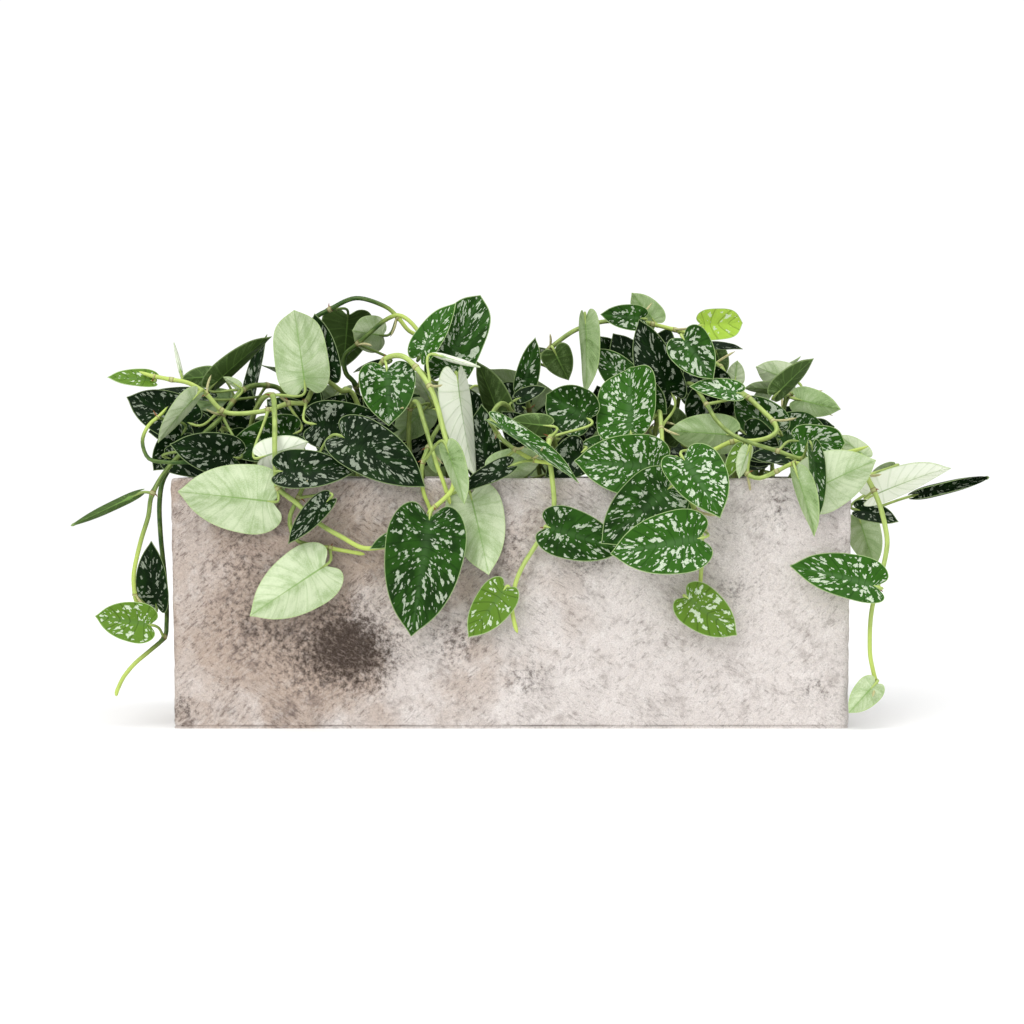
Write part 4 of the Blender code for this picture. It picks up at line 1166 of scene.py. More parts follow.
@dataclass
class Vine:
    """One vine: its stem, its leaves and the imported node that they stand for."""

    row: VineRow
    number: int
    node: bpy.types.Object
    soil_top: float = 196
    root_depth: float = 26
    collar: float = 6
    stem_step: float = 22
    fine_step: float = 4
    inside: float = 0.7

    def route(self, shift: float) -> list[Vector]:
        """The points that the stem goes through above the soil, shifted in depth.

        Args:
            shift: How far the stem is moved in depth, in mm.

        Returns:
            The points in mm.
        """
        points = [Vector((*self.row.root, self.soil_top + self.collar))]
        for i, (x, z, depth) in enumerate(self.row.route):
            points.append(on_sheet(x, z, depth + shift * min(1, i / 2)))
        return points

    def settle_stem(self, solid: PackedSolid) -> list[Vector]:
        """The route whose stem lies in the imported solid.

        Args:
            solid: The vine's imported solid.

        Returns:
            The points that the stem goes through, in mm.
        """
        def gap(route: list[Vector]) -> float:
            """How far a route lies from the solid's own, in mm."""
            path = spline(route, self.stem_step)[1:]
            depth = self.inside * self.row.radius
            return sum(abs(solid.distance(point) - depth) for point in path) / len(path)

        return min((self.route(shift) for shift in STEM_SHIFTS), key=gap)

    def settle_leaf(self, place: Callable[[float, float, float], Blade],
                    solid: PackedSolid) -> Optional[Blade]:
        """The leaf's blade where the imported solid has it, or None where it has none.

        Args:
            place: Makes the blade for a slide, a lean and a twist.
            solid: The vine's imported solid.

        Returns:
            The blade.
        """
        tries = [(slide, lean, twist) for slide in SLIDES for lean in LEANS for twist in TWISTS]
        tries.sort(key=lambda t: abs(t[0]) / SLIDE_UNIT + abs(t[1]) / LEAN_UNIT + abs(t[2]) / TWIST_UNIT)
        return next((blade for blade in (place(*move) for move in tries) if solid.carries(blade)), None)

    def leaves(self, path: list[Vector], solid: PackedSolid) -> Iterator[tuple[Blade, Tint]]:
        """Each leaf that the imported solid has, with its colouring.

        Args:
            path: The stem's nodes in mm.
            solid: The vine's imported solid.

        Returns:
            A blade and its tint, one after another.
        """
        planting = Planting()
        rng = random.Random(SEED + self.number)
        seedlings = planting.seedlings(self.row.grown, path, rng)
        for drawn in self.row.leaves:
            blade = self.settle_leaf(lambda *move: drawn_blade(drawn, *move), solid)
            if blade:
                yield blade, (drawn.look or self.row.look).value
        for seedling in seedlings:
            blade = self.settle_leaf(lambda *move: planting.grown_blade(seedling, *move), solid)
            if blade:
                yield blade, Tint(rng.random() ** 4 * 0.5, rng.uniform(0.3, 0.8), rng.uniform(0.1, 0.8))

    def build(self, surfaces: Sequence[bpy.types.Material]) -> bpy.types.Object:
        """Builds the vine in place of its node.

        Args:
            surfaces: The vine's materials, in the order of Skin.

        Returns:
            The finished object.
        """
        solid = PackedSolid(self.node)
        route = self.settle_stem(solid)
        root = Vector((*self.row.root, self.soil_top - self.root_depth))
        path = [root, *spline(route, self.stem_step)]
        tone = self.row.tone
        free = path[2:]
        stem = Stem([root, *spline(route, self.fine_step)], self.row.radius, tone, self.number)
        patches = Patches()
        count = 0
        for blade, tint in self.leaves(path, solid):
            node = min(free, key=lambda point: (point - blade.base).length)
            free.remove(node)
            stem.nodes.append(node)
            Leaf(blade, node, tint, self.number * 20 + count, tone).build(patches)
            count += 1
        stem.build(patches)
        made = patches.to_object(f"leafy_{self.row.name}", surfaces)
        made.data.set_sharp_from_angle(angle=math.radians(55))
        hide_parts(self.row.name)
        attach(made, "root")
        LOG.info("%s: %d leaves, %d faces", made.name, count, len(made.data.polygons))
        return made


Feed = float | Sequence[float] | bpy.types.NodeSocket


class Paint:
    """Lays out the nodes of one material."""

    def __init__(self, name: str, **settings: Feed) -> None:
        """Starts a material with its shader's own settings.

        Args:
            name: The material's name.
            settings: Values for the shader's sockets, with underscores for spaces.
        """
        self.material = bpy.data.materials.new(name)
        self.material.use_nodes = True
        self.nodes = self.material.node_tree.nodes
        self.shader = self.nodes["Principled BSDF"]
        for key, value in settings.items():
            self.feed(self.shader.inputs[key.replace("_", " ")], value)

    def feed(self, socket: bpy.types.NodeSocket, value: Feed) -> None:
        """Links a socket to another node's output, or sets its value.

        Args:
            socket: The socket that takes the value.
            value: The value, or the output that gives it.
        """
        if isinstance(value, bpy.types.NodeSocket):
            self.material.node_tree.links.new(value, socket)
        else:
            socket.default_value = value

    def node(self, kind: str, inputs: dict[int | str, Feed], output: int | str = 0,
             **settings: str | bool) -> bpy.types.NodeSocket:
        """Adds a node.

        Args:
            kind: The end of the node type's name.
            inputs: What goes into its sockets.
            output: Which output is wanted.
            settings: The node's own settings.

        Returns:
            The output.
        """
        made = self.nodes.new("ShaderNode" + kind)
        for key, value in settings.items():
            setattr(made, key, value)
        for key, value in inputs.items():
            self.feed(made.inputs[key], value)
        return made.outputs[output]

    def mark(self, name: str) -> bpy.types.NodeSocket:
        """One of the mesh's marks, as a vector."""
        return self.node("Attribute", {}, "Vector", attribute_name=name)

    def split(self, vector: Feed) -> list[bpy.types.NodeSocket]:
        """A vector's three numbers."""
        first = self.node("SeparateXYZ", {0: vector})
        return list(first.node.outputs)

    def math(self, operation: str, a: Feed, b: Feed = 0.0) -> bpy.types.NodeSocket:
        """One sum on one or two numbers."""
        return self.node("Math", {0: a, 1: b}, operation=operation)

    def times(self, a: Feed, b: Feed) -> bpy.types.NodeSocket:
        """A product."""
        return self.math('MULTIPLY', a, b)

    def plus(self, a: Feed, b: Feed) -> bpy.types.NodeSocket:
        """A sum."""
        return self.math('ADD', a, b)

    def minus(self, a: Feed, b: Feed) -> bpy.types.NodeSocket:
        """A difference."""
        return self.math('SUBTRACT', a, b)

    def ramp(self, value: Feed, low: Feed, high: Feed, start: Feed = 0.0,
             end: Feed = 1.0) -> bpy.types.NodeSocket:
        """A soft step from start to end as the value goes from low to high."""
        return self.node("MapRange", {0: value, 1: low, 2: high, 3: start, 4: end},
                         interpolation_type='SMOOTHSTEP')

    def mix(self, share: Feed, a: Feed, b: Feed) -> bpy.types.NodeSocket:
        """A blend of two colours."""
        pair = [value if isinstance(value, bpy.types.NodeSocket) else (*value, 1) for value in (a, b)]
        return self.node("Mix", {0: share, 6: pair[0], 7: pair[1]}, 2, data_type='RGBA')

    def scaled(self, vector: Feed, factor: Sequence[float]) -> bpy.types.NodeSocket:
        """A vector with each of its numbers multiplied."""
        return self.node("VectorMath", {0: vector, 1: factor}, operation='MULTIPLY')

    def noise(self, vector: Feed, scale: float, detail: float = 3, rough: float = 0.55,
              output: int | str = 0) -> bpy.types.NodeSocket:
        """Cloudy noise from 0 to 1."""
        inputs = {"Vector": vector, "Scale": scale, "Detail": detail, "Roughness": rough}
        return self.node("TexNoise", inputs, output)

    def bump(self, height: Feed, strength: float, distance: float) -> None:
        """Raises the surface by a height."""
        self.feed(self.shader.inputs["Normal"],
                  self.node("Bump", {"Strength": strength, "Distance": distance, "Height": height}))

    def colour(self, value: Feed) -> None:
        """Sets the shader's colour."""
        self.feed(self.shader.inputs["Base Color"], value)

    def roughness(self, value: Feed) -> None:
        """Sets the shader's roughness."""
        self.feed(self.shader.inputs["Roughness"], value)


@dataclass(frozen=True)
class LeafTopFinish:
    """The satin top of a leaf, with broken silver flecks along its side veins and a thin pale margin."""

    dark: Triple = (0.003, 0.013, 0.002)
    green: Triple = (0.032, 0.115, 0.010)
    lime: Triple = (0.40, 0.61, 0.075)
    silver: Triple = (0.66, 0.75, 0.58)
    dusk: Triple = (0.10, 0.19, 0.075)
    margin: Triple = (0.42, 0.56, 0.25)
    fleck: Triple = (0.24, 0.40, 1.0)
    speck: Triple = (0.50, 0.80, 1.0)
    margin_width: float = 0.5
    vein_gap: float = 8.0

    def flecks(self, paint: Paint, grain: bpy.types.NodeSocket, share: Feed,
               spacing: Triple) -> bpy.types.NodeSocket:
        """Ragged flecks on a share of the cells of a warped net.

        Args:
            paint: The material.
            grain: Where a point is along and across the veins, in mm.
            share: The share of cells that are a fleck.
            spacing: Cells in a mm, along and across the veins.

        Returns:
            1 on the flecks and 0 off them.
        """
        warp = paint.noise(grain, 0.6, 3, 0.7, "Color")
        moved = paint.node("VectorMath", {0: warp, 1: (5.0, 3.0, 0.0), 2: grain}, operation='MULTIPLY_ADD')
        inputs = {"Vector": paint.scaled(moved, spacing), "Scale": 1.0, "Randomness": 1.0}
        cells = paint.node("TexVoronoi", inputs, "Color", feature='F1')
        chance, _, _ = paint.split(cells)
        return paint.ramp(paint.minus(share, chance), -0.004, 0.004)

    def material(self) -> bpy.types.Material:
        """Makes the material.

        Returns:
            The material.
        """
        paint = Paint("leaf top", Specular_IOR_Level=0.07)
        grain = paint.mark("grain")
        _, reach, edge = paint.split(paint.mark("place"))
        youth, silver, light = paint.split(paint.mark("tint"))
        _, across, _ = paint.split(grain)
        cloud = paint.noise(grain, 0.07, 2)
        # The lightness mark darkens the green: partly the leaf's own tone, partly painted shade on leaves
        # that lie in shade.
        shade = paint.plus(light, paint.ramp(cloud, 0.3, 0.7, -0.18, 0.18))
        green = paint.mix(paint.ramp(shade, 0.0, 1.1), self.dark, self.green)
        green = paint.mix(paint.ramp(youth, 0, 1), green, self.lime)
        vein = paint.math('PINGPONG', paint.math('DIVIDE', across, self.vein_gap), 0.5)
        vein = paint.ramp(vein, 0.0, 0.12, 1.0, 0.0)
        dusk = paint.times(paint.ramp(reach, 0.0, 0.22, 0.42, 0.0), paint.ramp(light, 0, 1, 0.05, 1.0))
        green = paint.mix(paint.times(dusk, paint.minus(1.0, youth)), green, self.dusk)
        green = paint.mix(paint.times(vein, 0.35), green, self.dark)
        field = paint.times(paint.ramp(reach, 0.04, 0.22, 0.05, 1.0), paint.ramp(edge, 1.0, 2.4))
        crowd = paint.ramp(paint.noise(grain, 0.11, 2), 0.34, 0.66, 0.25, 1.6)
        share = paint.times(paint.ramp(silver, 0, 1, 0.04, 0.205), paint.times(field, crowd))
        large = self.flecks(paint, grain, share, self.fleck)
        small = self.flecks(paint, grain, paint.times(share, 0.4), self.speck)
        mottle = paint.ramp(paint.noise(grain, 1.3, 3), 0.3, 0.7, 0.55, 1.0)
        # The flecks are dimmed on darker leaves: partly painted shade.
        strength = paint.times(mottle, paint.ramp(light, 0, 1, 0.45, 1.0))
        flecks = paint.times(paint.math('MAXIMUM', large, small), strength)
        rim = paint.ramp(edge, self.margin_width * 0.6, self.margin_width * 1.5, 0.85, 0.0)
        # The margin is dimmed on darker leaves: partly painted shade.
        rim = paint.times(rim, paint.ramp(light, 0, 1, 0.6, 1.0))
        paint.colour(paint.mix(rim, paint.mix(flecks, green, self.silver), self.margin))
        pebble = paint.noise(grain, 2.2, 2)
        paint.roughness(paint.ramp(pebble, 0.2, 0.8, 0.34, 0.5))
        height = paint.minus(paint.times(pebble, 0.3), paint.times(vein, 0.8))
        paint.bump(height, 0.5, 0.0005)
        return paint.material


@dataclass(frozen=True)
class LeafUnderFinish:
    """The pale grey-green underside of a leaf, with a darker midrib and faint arching side veins."""

    white: Triple = (0.80, 0.85, 0.70)
    pale: Triple = (0.60, 0.69, 0.46)
    green: Triple = (0.30, 0.42, 0.19)
    deep: Triple = (0.20, 0.31, 0.11)
    painted_shade_olive: Triple = (0.040, 0.080, 0.014)
    vein: Triple = (0.19, 0.34, 0.08)
    margin: Triple = (0.44, 0.60, 0.24)
    spot: Triple = (0.22, 0.18, 0.06)
    vein_gap: float = 8.0

    def material(self) -> bpy.types.Material:
        """Makes the material.

        Returns:
            The material.
        """
        paint = Paint("leaf underside", Specular_IOR_Level=0.12)
        grain = paint.mark("grain")
        along, reach, edge = paint.split(paint.mark("place"))
        youth, _, light = paint.split(paint.mark("tint"))
        sideways, across, _ = paint.split(grain)
        streak = paint.noise(paint.scaled(grain, (0.05, 0.26, 1.0)), 1.0, 4, 0.6)
        cloud = paint.noise(grain, 0.05, 2)
        fine = paint.noise(grain, 1.1, 3, 0.7)
        # The lightness mark is painted light and shade: olive where a leaf lies in shade, near white where
        # it is lit.
        shade = paint.plus(light, paint.ramp(fine, 0.3, 0.7, -0.10, 0.10))
        shade = paint.plus(shade, paint.ramp(streak, 0.3, 0.7, -0.10, 0.07))
        shade = paint.plus(shade, paint.ramp(cloud, 0.3, 0.7, -0.16, 0.16))
        shade = paint.plus(shade, paint.ramp(reach, 0.0, 0.5, -0.14, 0.0))
        colour = paint.mix(paint.ramp(shade, 0.15, 0.5), self.deep, self.green)
        colour = paint.mix(paint.ramp(shade, 0.4, 1.0), colour, self.pale)
        # Painted light: the most brightly lit undersides go near white.
        colour = paint.mix(paint.ramp(shade, 1.0, 1.5), colour, self.white)
        # Painted shade: undersides that lie in shade go olive.
        colour = paint.mix(paint.ramp(shade, 0.0, 0.35, 0.9, 0.0), colour, self.painted_shade_olive)
        colour = paint.mix(paint.times(youth, 0.6), colour, self.margin)
        line = paint.math('PINGPONG', paint.math('DIVIDE', across, self.vein_gap), 0.5)
        side_vein = paint.ramp(line, 0.0, 0.14, 0.20, 0.0)
        colour = paint.mix(side_vein, colour, self.vein)
        midrib = paint.ramp(paint.math('ABSOLUTE', sideways), 0.3, 1.2, 0.8, 0.0)
        midrib = paint.times(midrib, paint.ramp(along, 0.1, 1.0, 1.0, 0.5))
        colour = paint.mix(midrib, colour, self.vein)
        colour = paint.mix(paint.ramp(edge, 0.3, 1.4, 0.45, 0.0), colour, self.margin)
        blemish = paint.ramp(paint.noise(grain, 0.35, 4), 0.74, 0.80, 0.0, 0.6)
        paint.colour(paint.mix(blemish, colour, self.spot))
        paint.roughness(paint.ramp(cloud, 0.2, 0.8, 0.45, 0.6))
        height = paint.plus(streak, paint.times(side_vein, 2.5))
        paint.bump(height, 0.5, 0.0006)
        return paint.material


@dataclass(frozen=True)
class StemFinish:
    """A smooth green stem, streaked along its length and ringed at its nodes."""

    pale: Triple = (0.47, 0.60, 0.17)
    dark: Triple = (0.028, 0.080, 0.012)
    lime: Triple = (0.50, 0.63, 0.14)
    ring: Triple = (0.46, 0.44, 0.22)
    scar: Triple = (0.16, 0.075, 0.03)

    def material(self) -> bpy.types.Material:
        """Makes the material.

        Returns:
            The material.
        """
        paint = Paint("stem", Specular_IOR_Level=0.25)
        grain = paint.mark("grain")
        near, way, stalk = paint.split(paint.mark("place"))
        youth, _, tone = paint.split(paint.mark("tint"))
        streak = paint.noise(paint.scaled(grain, (1.0, 0.12, 1.0)), 0.8, 3)
        shade = paint.plus(tone, paint.ramp(streak, 0.3, 0.7, -0.16, 0.16))
        colour = paint.mix(paint.ramp(shade, -0.1, 1.0), self.pale, self.dark)
        plain = paint.minus(1.0, stalk)
        growing = paint.times(paint.ramp(way, 0.80, 0.93, 0.0, 0.9), plain)
        colour = paint.mix(paint.math('MAXIMUM', growing, youth), colour, self.lime)
        ring = paint.times(paint.ramp(near, 0.8, 2.6, 0.7, 0.0), plain)
        colour = paint.mix(ring, colour, self.ring)
        from_scar = paint.math('ABSOLUTE', paint.minus(near, 1.7))
        scar = paint.times(paint.ramp(from_scar, 0.2, 0.7, 0.6, 0.0), plain)
        paint.colour(paint.mix(scar, colour, self.scar))
        paint.roughness(paint.ramp(streak, 0.2, 0.8, 0.36, 0.52))
        paint.bump(streak, 0.25, 0.0004)
        return paint.material


@dataclass(frozen=True)
class RootFinish:
    """Brown root nubs and the straw-coloured sheaths at the nodes."""

    brown: Triple = (0.23, 0.085, 0.03)
    straw: Triple = (0.58, 0.58, 0.30)

    def material(self) -> bpy.types.Material:
        """Makes the material.

        Returns:
            The material.
        """
        paint = Paint("root nub", Specular_IOR_Level=0.25)
        grain = paint.mark("grain")
        _, _, paper = paint.split(paint.mark("tint"))
        streak = paint.noise(paint.scaled(grain, (1.0, 0.2, 1.0)), 1.5, 3)
        colour = paint.mix(paper, self.brown, self.straw)
        colour = paint.mix(paint.ramp(streak, 0.3, 0.75, 0.0, 0.45), colour, self.brown)
        paint.colour(colour)
        paint.roughness(paint.ramp(streak, 0.2, 0.8, 0.6, 0.85))
        paint.bump(streak, 0.3, 0.0003)
        return paint.material


@dataclass(frozen=True)
class StoneFinish:
    """Rough cast stone: beige to pale pinkish grey, mottled, with dark stains and fine strokes. The strokes
    carry a painted highlight on one side and a painted shadow on the other; the stains include one painted
    shadow under a leaf, and the foot groove is painted shade.
    """

    beige: Triple = (0.54, 0.43, 0.355)
    pale: Triple = (0.82, 0.765, 0.735)
    mottle: Triple = (0.20, 0.155, 0.135)
    stain_and_shadow: Triple = (0.030, 0.020, 0.014)
    chalk: Triple = (0.95, 0.91, 0.88)

    def strokes(self, paint: Paint, place: Feed, turn: float, size: Triple) -> Feed:
        """Short slanted strokes.

        Args:
            paint: The material.
            place: Where a point is, in mm.
            turn: How far the strokes are turned from level.
            size: How long and how wide a stroke is, in mm.

        Returns:
            Noise from 0 to 1.
        """
        slanted = paint.node("Mapping", {"Vector": place, "Rotation": (0, turn, 0), "Scale": size},
                             vector_type='TEXTURE')
        return paint.noise(slanted, 1.0, 4, 0.72)

    def material(self) -> bpy.types.Material:
        """Makes the material.

        Returns:
            The material.
        """
        paint = Paint("cast stone", Specular_IOR_Level=0.1)
        place = paint.mark("grain")
        stain_and_shadow, pale, groove = paint.split(paint.mark("tint"))
        broad = paint.noise(place, 0.016, 5, 0.6)
        middle = paint.noise(place, 0.05, 6, 0.7)
        small = paint.noise(place, 0.20, 4, 0.75)
        falling = self.strokes(paint, place, 0.55, (7.5, 3.0, 2.0))
        rising = self.strokes(paint, place, -0.75, (8.0, 3.0, 2.4))
        side = paint.ramp(paint.noise(place, 0.02, 2), 0.42, 0.58)
        strokes = paint.plus(paint.times(falling, side),
                             paint.times(rising, paint.minus(1.0, side)))
        paleness = paint.plus(pale, paint.ramp(broad, 0.35, 0.65, -0.28, 0.28))
        colour = paint.mix(paint.ramp(paleness, 0.0, 1.0), self.beige, self.pale)
        dim = paint.ramp(paleness, 0.0, 1.0, 0.80, 0.34)
        colour = paint.mix(paint.times(paint.ramp(middle, 0.48, 0.70), dim), colour, self.mottle)
        patches = paint.times(paint.ramp(small, 0.50, 0.72), paint.times(dim, 0.8))
        colour = paint.mix(patches, colour, self.mottle)
        chalk = paint.ramp(paint.noise(place, 0.09, 5, 0.75), 0.50, 0.70, 0.0, 0.6)
        worn = paint.ramp(paleness, 0.0, 1.0, 0.35, 1.0)
        colour = paint.mix(paint.times(chalk, worn), colour, self.chalk)
        # Painted highlight on the lit side of the strokes, in the chalk colour.
        lit = paint.ramp(strokes, 0.53, 0.64, 0.0, 0.7)
        colour = paint.mix(paint.times(lit, worn), colour, self.chalk)
        # Stains, and one painted shadow under a leaf, in the darkest colour.
        warped = paint.plus(stain_and_shadow, paint.ramp(small, 0.2, 0.8, -0.5, 0.5))
        stained_and_shadowed = paint.times(paint.ramp(warped, 0.0, 0.9, 0.0, 0.97), paint.ramp(stain_and_shadow, 0.02, 0.22))
        colour = paint.mix(stained_and_shadowed, colour, self.stain_and_shadow)
        colour = paint.mix(paint.ramp(strokes, 0.50, 0.68, 0.0, 0.30), colour, self.beige)
        shadow = paint.ramp(strokes, 0.36, 0.46, 1.0, 0.0)
        shadow = paint.times(shadow, paint.ramp(dim, 0.3, 0.8, 0.40, 0.78))
        colour = paint.mix(shadow, colour, self.mottle)
        fine = paint.ramp(paint.noise(place, 0.9, 2), 0.35, 0.65, 0.24, 0.0)
        colour = paint.mix(fine, colour, self.mottle)
        # Painted shade in the groove above the foot, in the darkest colour.
        paint.colour(paint.mix(paint.times(groove, 0.8), colour, self.stain_and_shadow))
        paint.roughness(paint.ramp(strokes, 0.2, 0.8, 0.75, 0.95))
        height = paint.plus(paint.times(strokes, 1.2), small)
        paint.bump(height, 1.0, 0.0022)
        return paint.material


@dataclass(frozen=True)
class SoilFinish:
    """Damp dark potting mix."""

    damp: Triple = (0.018, 0.012, 0.008)
    dry: Triple = (0.075, 0.050, 0.034)

    def material(self) -> bpy.types.Material:
        """Makes the material.

        Returns:
            The material.
        """
        paint = Paint("potting mix", Specular_IOR_Level=0.2)
        grain = paint.mark("grain")
        crumb = paint.noise(grain, 0.5, 6, 0.7)
        paint.colour(paint.mix(paint.ramp(crumb, 0.35, 0.7), self.damp, self.dry))
        paint.roughness(paint.ramp(crumb, 0.2, 0.8, 0.8, 1.0))
        paint.bump(crumb, 1.0, 0.002)
        return paint.material


@dataclass(frozen=True)
class StainAndShadow:
    """A dark patch on the trough's front, in mm: its middle, its reach and its strength. Most patches are
    stains; one is a painted shadow under a hanging leaf.
    """

    x: float
    z: float
    reach_x: float
    reach_z: float
    strength: float

    def at(self, x: np.ndarray, z: np.ndarray) -> np.ndarray:
        """How dark the patch is at each point.

        Args:
            x: Each point's place along the trough, in mm.
            z: Each point's height in mm.

        Returns:
            A number from 0 for each point.
        """
        across = (x - self.x) / self.reach_x
        up = (z - self.z) / self.reach_z
        return self.strength * np.exp(-across ** 2 - up ** 2)


STAINS_AND_SHADOWS = (
    StainAndShadow(-147, 78, 32, 34, 0.85),
    StainAndShadow(-118, 62, 26, 26, 0.36),
    StainAndShadow(-176, 58, 38, 26, 0.34),
    StainAndShadow(-236, 150, 34, 30, 0.26),
    StainAndShadow(-232, 92, 44, 26, 0.3),
    StainAndShadow(-50, 78, 26, 20, 0.34),
    StainAndShadow(-2, 160, 26, 26, 0.25),
    StainAndShadow(16, 46, 26, 18, 0.26),
    # Painted shadow under a hanging leaf.
    StainAndShadow(70, 150, 26, 12, 0.3),
    StainAndShadow(196, 122, 16, 18, 0.2),
    StainAndShadow(236, 198, 14, 24, 0.24),
    StainAndShadow(268, 34, 22, 20, 0.2),
    # Darker at the lower left corner.
    StainAndShadow(-290, 16, 12, 16, 0.35),
)


@dataclass
class Trough:
    """The rough stone trough: its outside, rim and foot, in mm."""

    length: float = 603
    depth: float = 220
    height: float = 222
    wall: float = 15
    floor: float = 18
    taper: float = 0.0085
    corner: float = 6
    corner_steps: int = 5
    edge: float = 2.5
    foot: float = 2.2
    foot_cut: float = 0.9
    cell: float = 2.7
    bow: float = 0.9
    relief: float = 0.6
    grit: float = 0.3
    chip: float = 1.1
    foot_wander: float = 0.8
    foot_width: float = 0.7
    middle_gap: float = 2.2

    CORNER_SIGNS = ((1, 1), (-1, 1), (-1, -1), (1, -1))
    SIDE_WAYS = ((-1, 0), (0, -1), (1, 0), (0, 1))
    UNDERSIDE_INSETS = (96, 78, 56, 34, 14, 4, 1.5)
    FOOT_HEIGHTS = (0, 0.6, 1.4, 2.1, 2.7, 3.3, 3.9, 4.6, 5.6, 7.2, 9.4)
    FACE_START = 12
    EDGE_STEPS = 4
    RIM_INSETS = (4.5, 7, 9.5, 12, 13.8)
    INNER_DEPTHS = (1, 6, 12, 18, 24, 32, 72, 122, 162)
    FLOOR_INSETS = (40, 70, 95)

    def loop(self, z: float, inset: float) -> tuple[np.ndarray, np.ndarray]:
        """The trough's outline at a height, drawn in by a distance.

        Args:
            z: The height in mm.
            inset: How far it is drawn in.

        Returns:
            The corners, and the way out at each.
        """
        lean = self.taper * (1 - z / self.height)
        half_x = self.length / 2 * (1 - lean) - inset
        half_y = self.depth / 2 * (1 - lean) - inset
        radius = max(self.corner - inset, 2)
        counts = (round(self.length / self.cell), round(self.depth / self.cell))
        corners, ways = [], []
        for quarter in range(4):
            sign_x, sign_y = self.CORNER_SIGNS[quarter]
            middle = np.array((sign_x * (half_x - radius), sign_y * (half_y - radius)))
            for k in range(self.corner_steps + 1):
                angle = math.pi / 2 * (quarter + k / self.corner_steps)
                way = np.array((math.cos(angle), math.sin(angle)))
                corners.append(middle + radius * way)
                ways.append(way)
            ahead = np.array(self.SIDE_WAYS[quarter])
            span = 2 * ((half_x, half_y)[quarter % 2] - radius)
            count = counts[quarter % 2]
            start = corners[-1]
            for k in range(1, count):
                corners.append(start + ahead * span * k / count)
                ways.append(ways[-1])
        ring = np.column_stack((np.array(corners), np.full(len(corners), z)))
        return ring, np.column_stack((np.array(ways), np.zeros(len(ways))))

    @staticmethod
    def wander(point: Sequence[float]) -> float:
        """How the line above the foot wanders up and down, from -1 to 1."""
        return noise.noise(Vector(point) * 0.02 + Vector((9, 0, 0)))

    def worn(self, ring: np.ndarray, ways: np.ndarray) -> np.ndarray:
        """An outline of the outside with its cast relief, its bowed faces and the groove above its foot.

        Args:
            ring: The outline's corners in mm.
            ways: The way out at each corner.

        Returns:
            The corners, moved.
        """
        moved = np.empty_like(ring)
        for i, (point, way) in enumerate(zip(ring, ways)):
            x, y, z = point
            place = Vector(point)
            low = min(1.0, z / 1.5)
            rise = self.bow * noise.noise(place * 0.008)
            rise += (self.relief * noise.fractal(place * 0.06, 0.8, 2.1, 4)
                     + self.grit * noise.noise(place * 0.35))
            groove = self.foot + self.foot_wander * self.wander(point)
            rise -= self.foot_cut * math.exp(-((z - groove) / self.foot_width) ** 2)
            chip = noise.noise(place * 0.07 + Vector((0, 5, 3))) - 0.18
            rise -= self.chip * max(0, chip) * 3 * math.exp(-((self.height - z) / 2.5) ** 2)
            moved[i] = point + way * min(rise, 1.0) * low
        return moved

    def stone_tint(self, points: np.ndarray) -> np.ndarray:
        """The stains of the stone with one painted leaf shadow, its paleness with a painted highlight along
        the rim, and the painted shade in its foot groove.

        Args:
            points: Points of its surface in mm.

        Returns:
            A mark for each point.
        """
        x, y, z = points.T
        front = np.clip((-y - self.depth / 2 + 12) / 6, 0, 1)
        # Stains on the front, one of them a painted shadow under a hanging leaf, and mottled darkening on
        # the other faces.
        stain_and_shadow = sum(patch.at(x, z) for patch in STAINS_AND_SHADOWS) * front
        other = np.array([max(0.0, noise.noise(Vector(p) * 0.011) - 0.12) for p in points])
        stain_and_shadow = stain_and_shadow + other * (1 - front) * 0.9
        across = np.clip((x + 230) / 400, 0, 1)
        pale = 0.10 + 1.0 * across * across * (3 - 2 * across) + 0.35 * np.exp(-(z / 38) ** 2)
        wander = np.array([self.wander(p) for p in points])
        line = np.exp(-((z - self.foot - self.foot_wander * wander) / self.foot_width) ** 2)
        # Painted shade in the groove above the foot.
        groove = line * np.clip(0.45 + 1.6 * wander, 0, 0.8) * (np.abs(z) > 2)
        # Painted highlight along the rim's rounded top edge.
        rim = np.exp(-((self.height - z) / 2.2) ** 2) * 0.5
        return np.column_stack((np.clip(stain_and_shadow, 0, 1.1), np.clip(pale + rim, 0, 1.2), groove))

    def build(self) -> bpy.types.Object:
        """Builds the trough in place of its node.

        Returns:
            The finished object.
        """
        inmost = self.depth / 2 * (1 - self.taper) - self.middle_gap
        faces = np.linspace(self.FACE_START, self.height - self.edge, round(self.height / self.cell))
        sheets = [self.loop(0, inset)[0] for inset in (inmost, *self.UNDERSIDE_INSETS)]
        sheets += [self.worn(*self.loop(z, 0)) for z in (*self.FOOT_HEIGHTS, *faces)]
        for step in range(1, self.EDGE_STEPS + 1):
            angle = math.pi / 2 * step / self.EDGE_STEPS
            drop = self.edge * (1 - math.sin(angle))
            sheets.append(self.worn(*self.loop(self.height - drop, self.edge * (1 - math.cos(angle)))))
        for inset in self.RIM_INSETS:
            ring, _ = self.loop(self.height, inset)
            ring[:, 2] += [0.35 * noise.noise(Vector(p) * 0.2) - 0.3 for p in ring]
            sheets.append(ring)
        for depth in (*self.INNER_DEPTHS, self.height - self.floor):
            sheets.append(self.loop(self.height - depth, self.wall)[0])
        for inset in (*self.FLOOR_INSETS, inmost):
            sheets.append(self.loop(self.floor, inset)[0])
        points = np.concatenate(sheets)
        patches = Patches()
        patches.add(points, grid_faces(len(sheets), len(sheets[0]), True), 0,
                    {"grain": points, "tint": self.stone_tint(points)})
        made = patches.to_object("stone_trough", [StoneFinish().material()])
        close_slits(made)
        made.data.set_sharp_from_angle(angle=math.radians(60))
        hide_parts("planter")
        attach(made, "root")
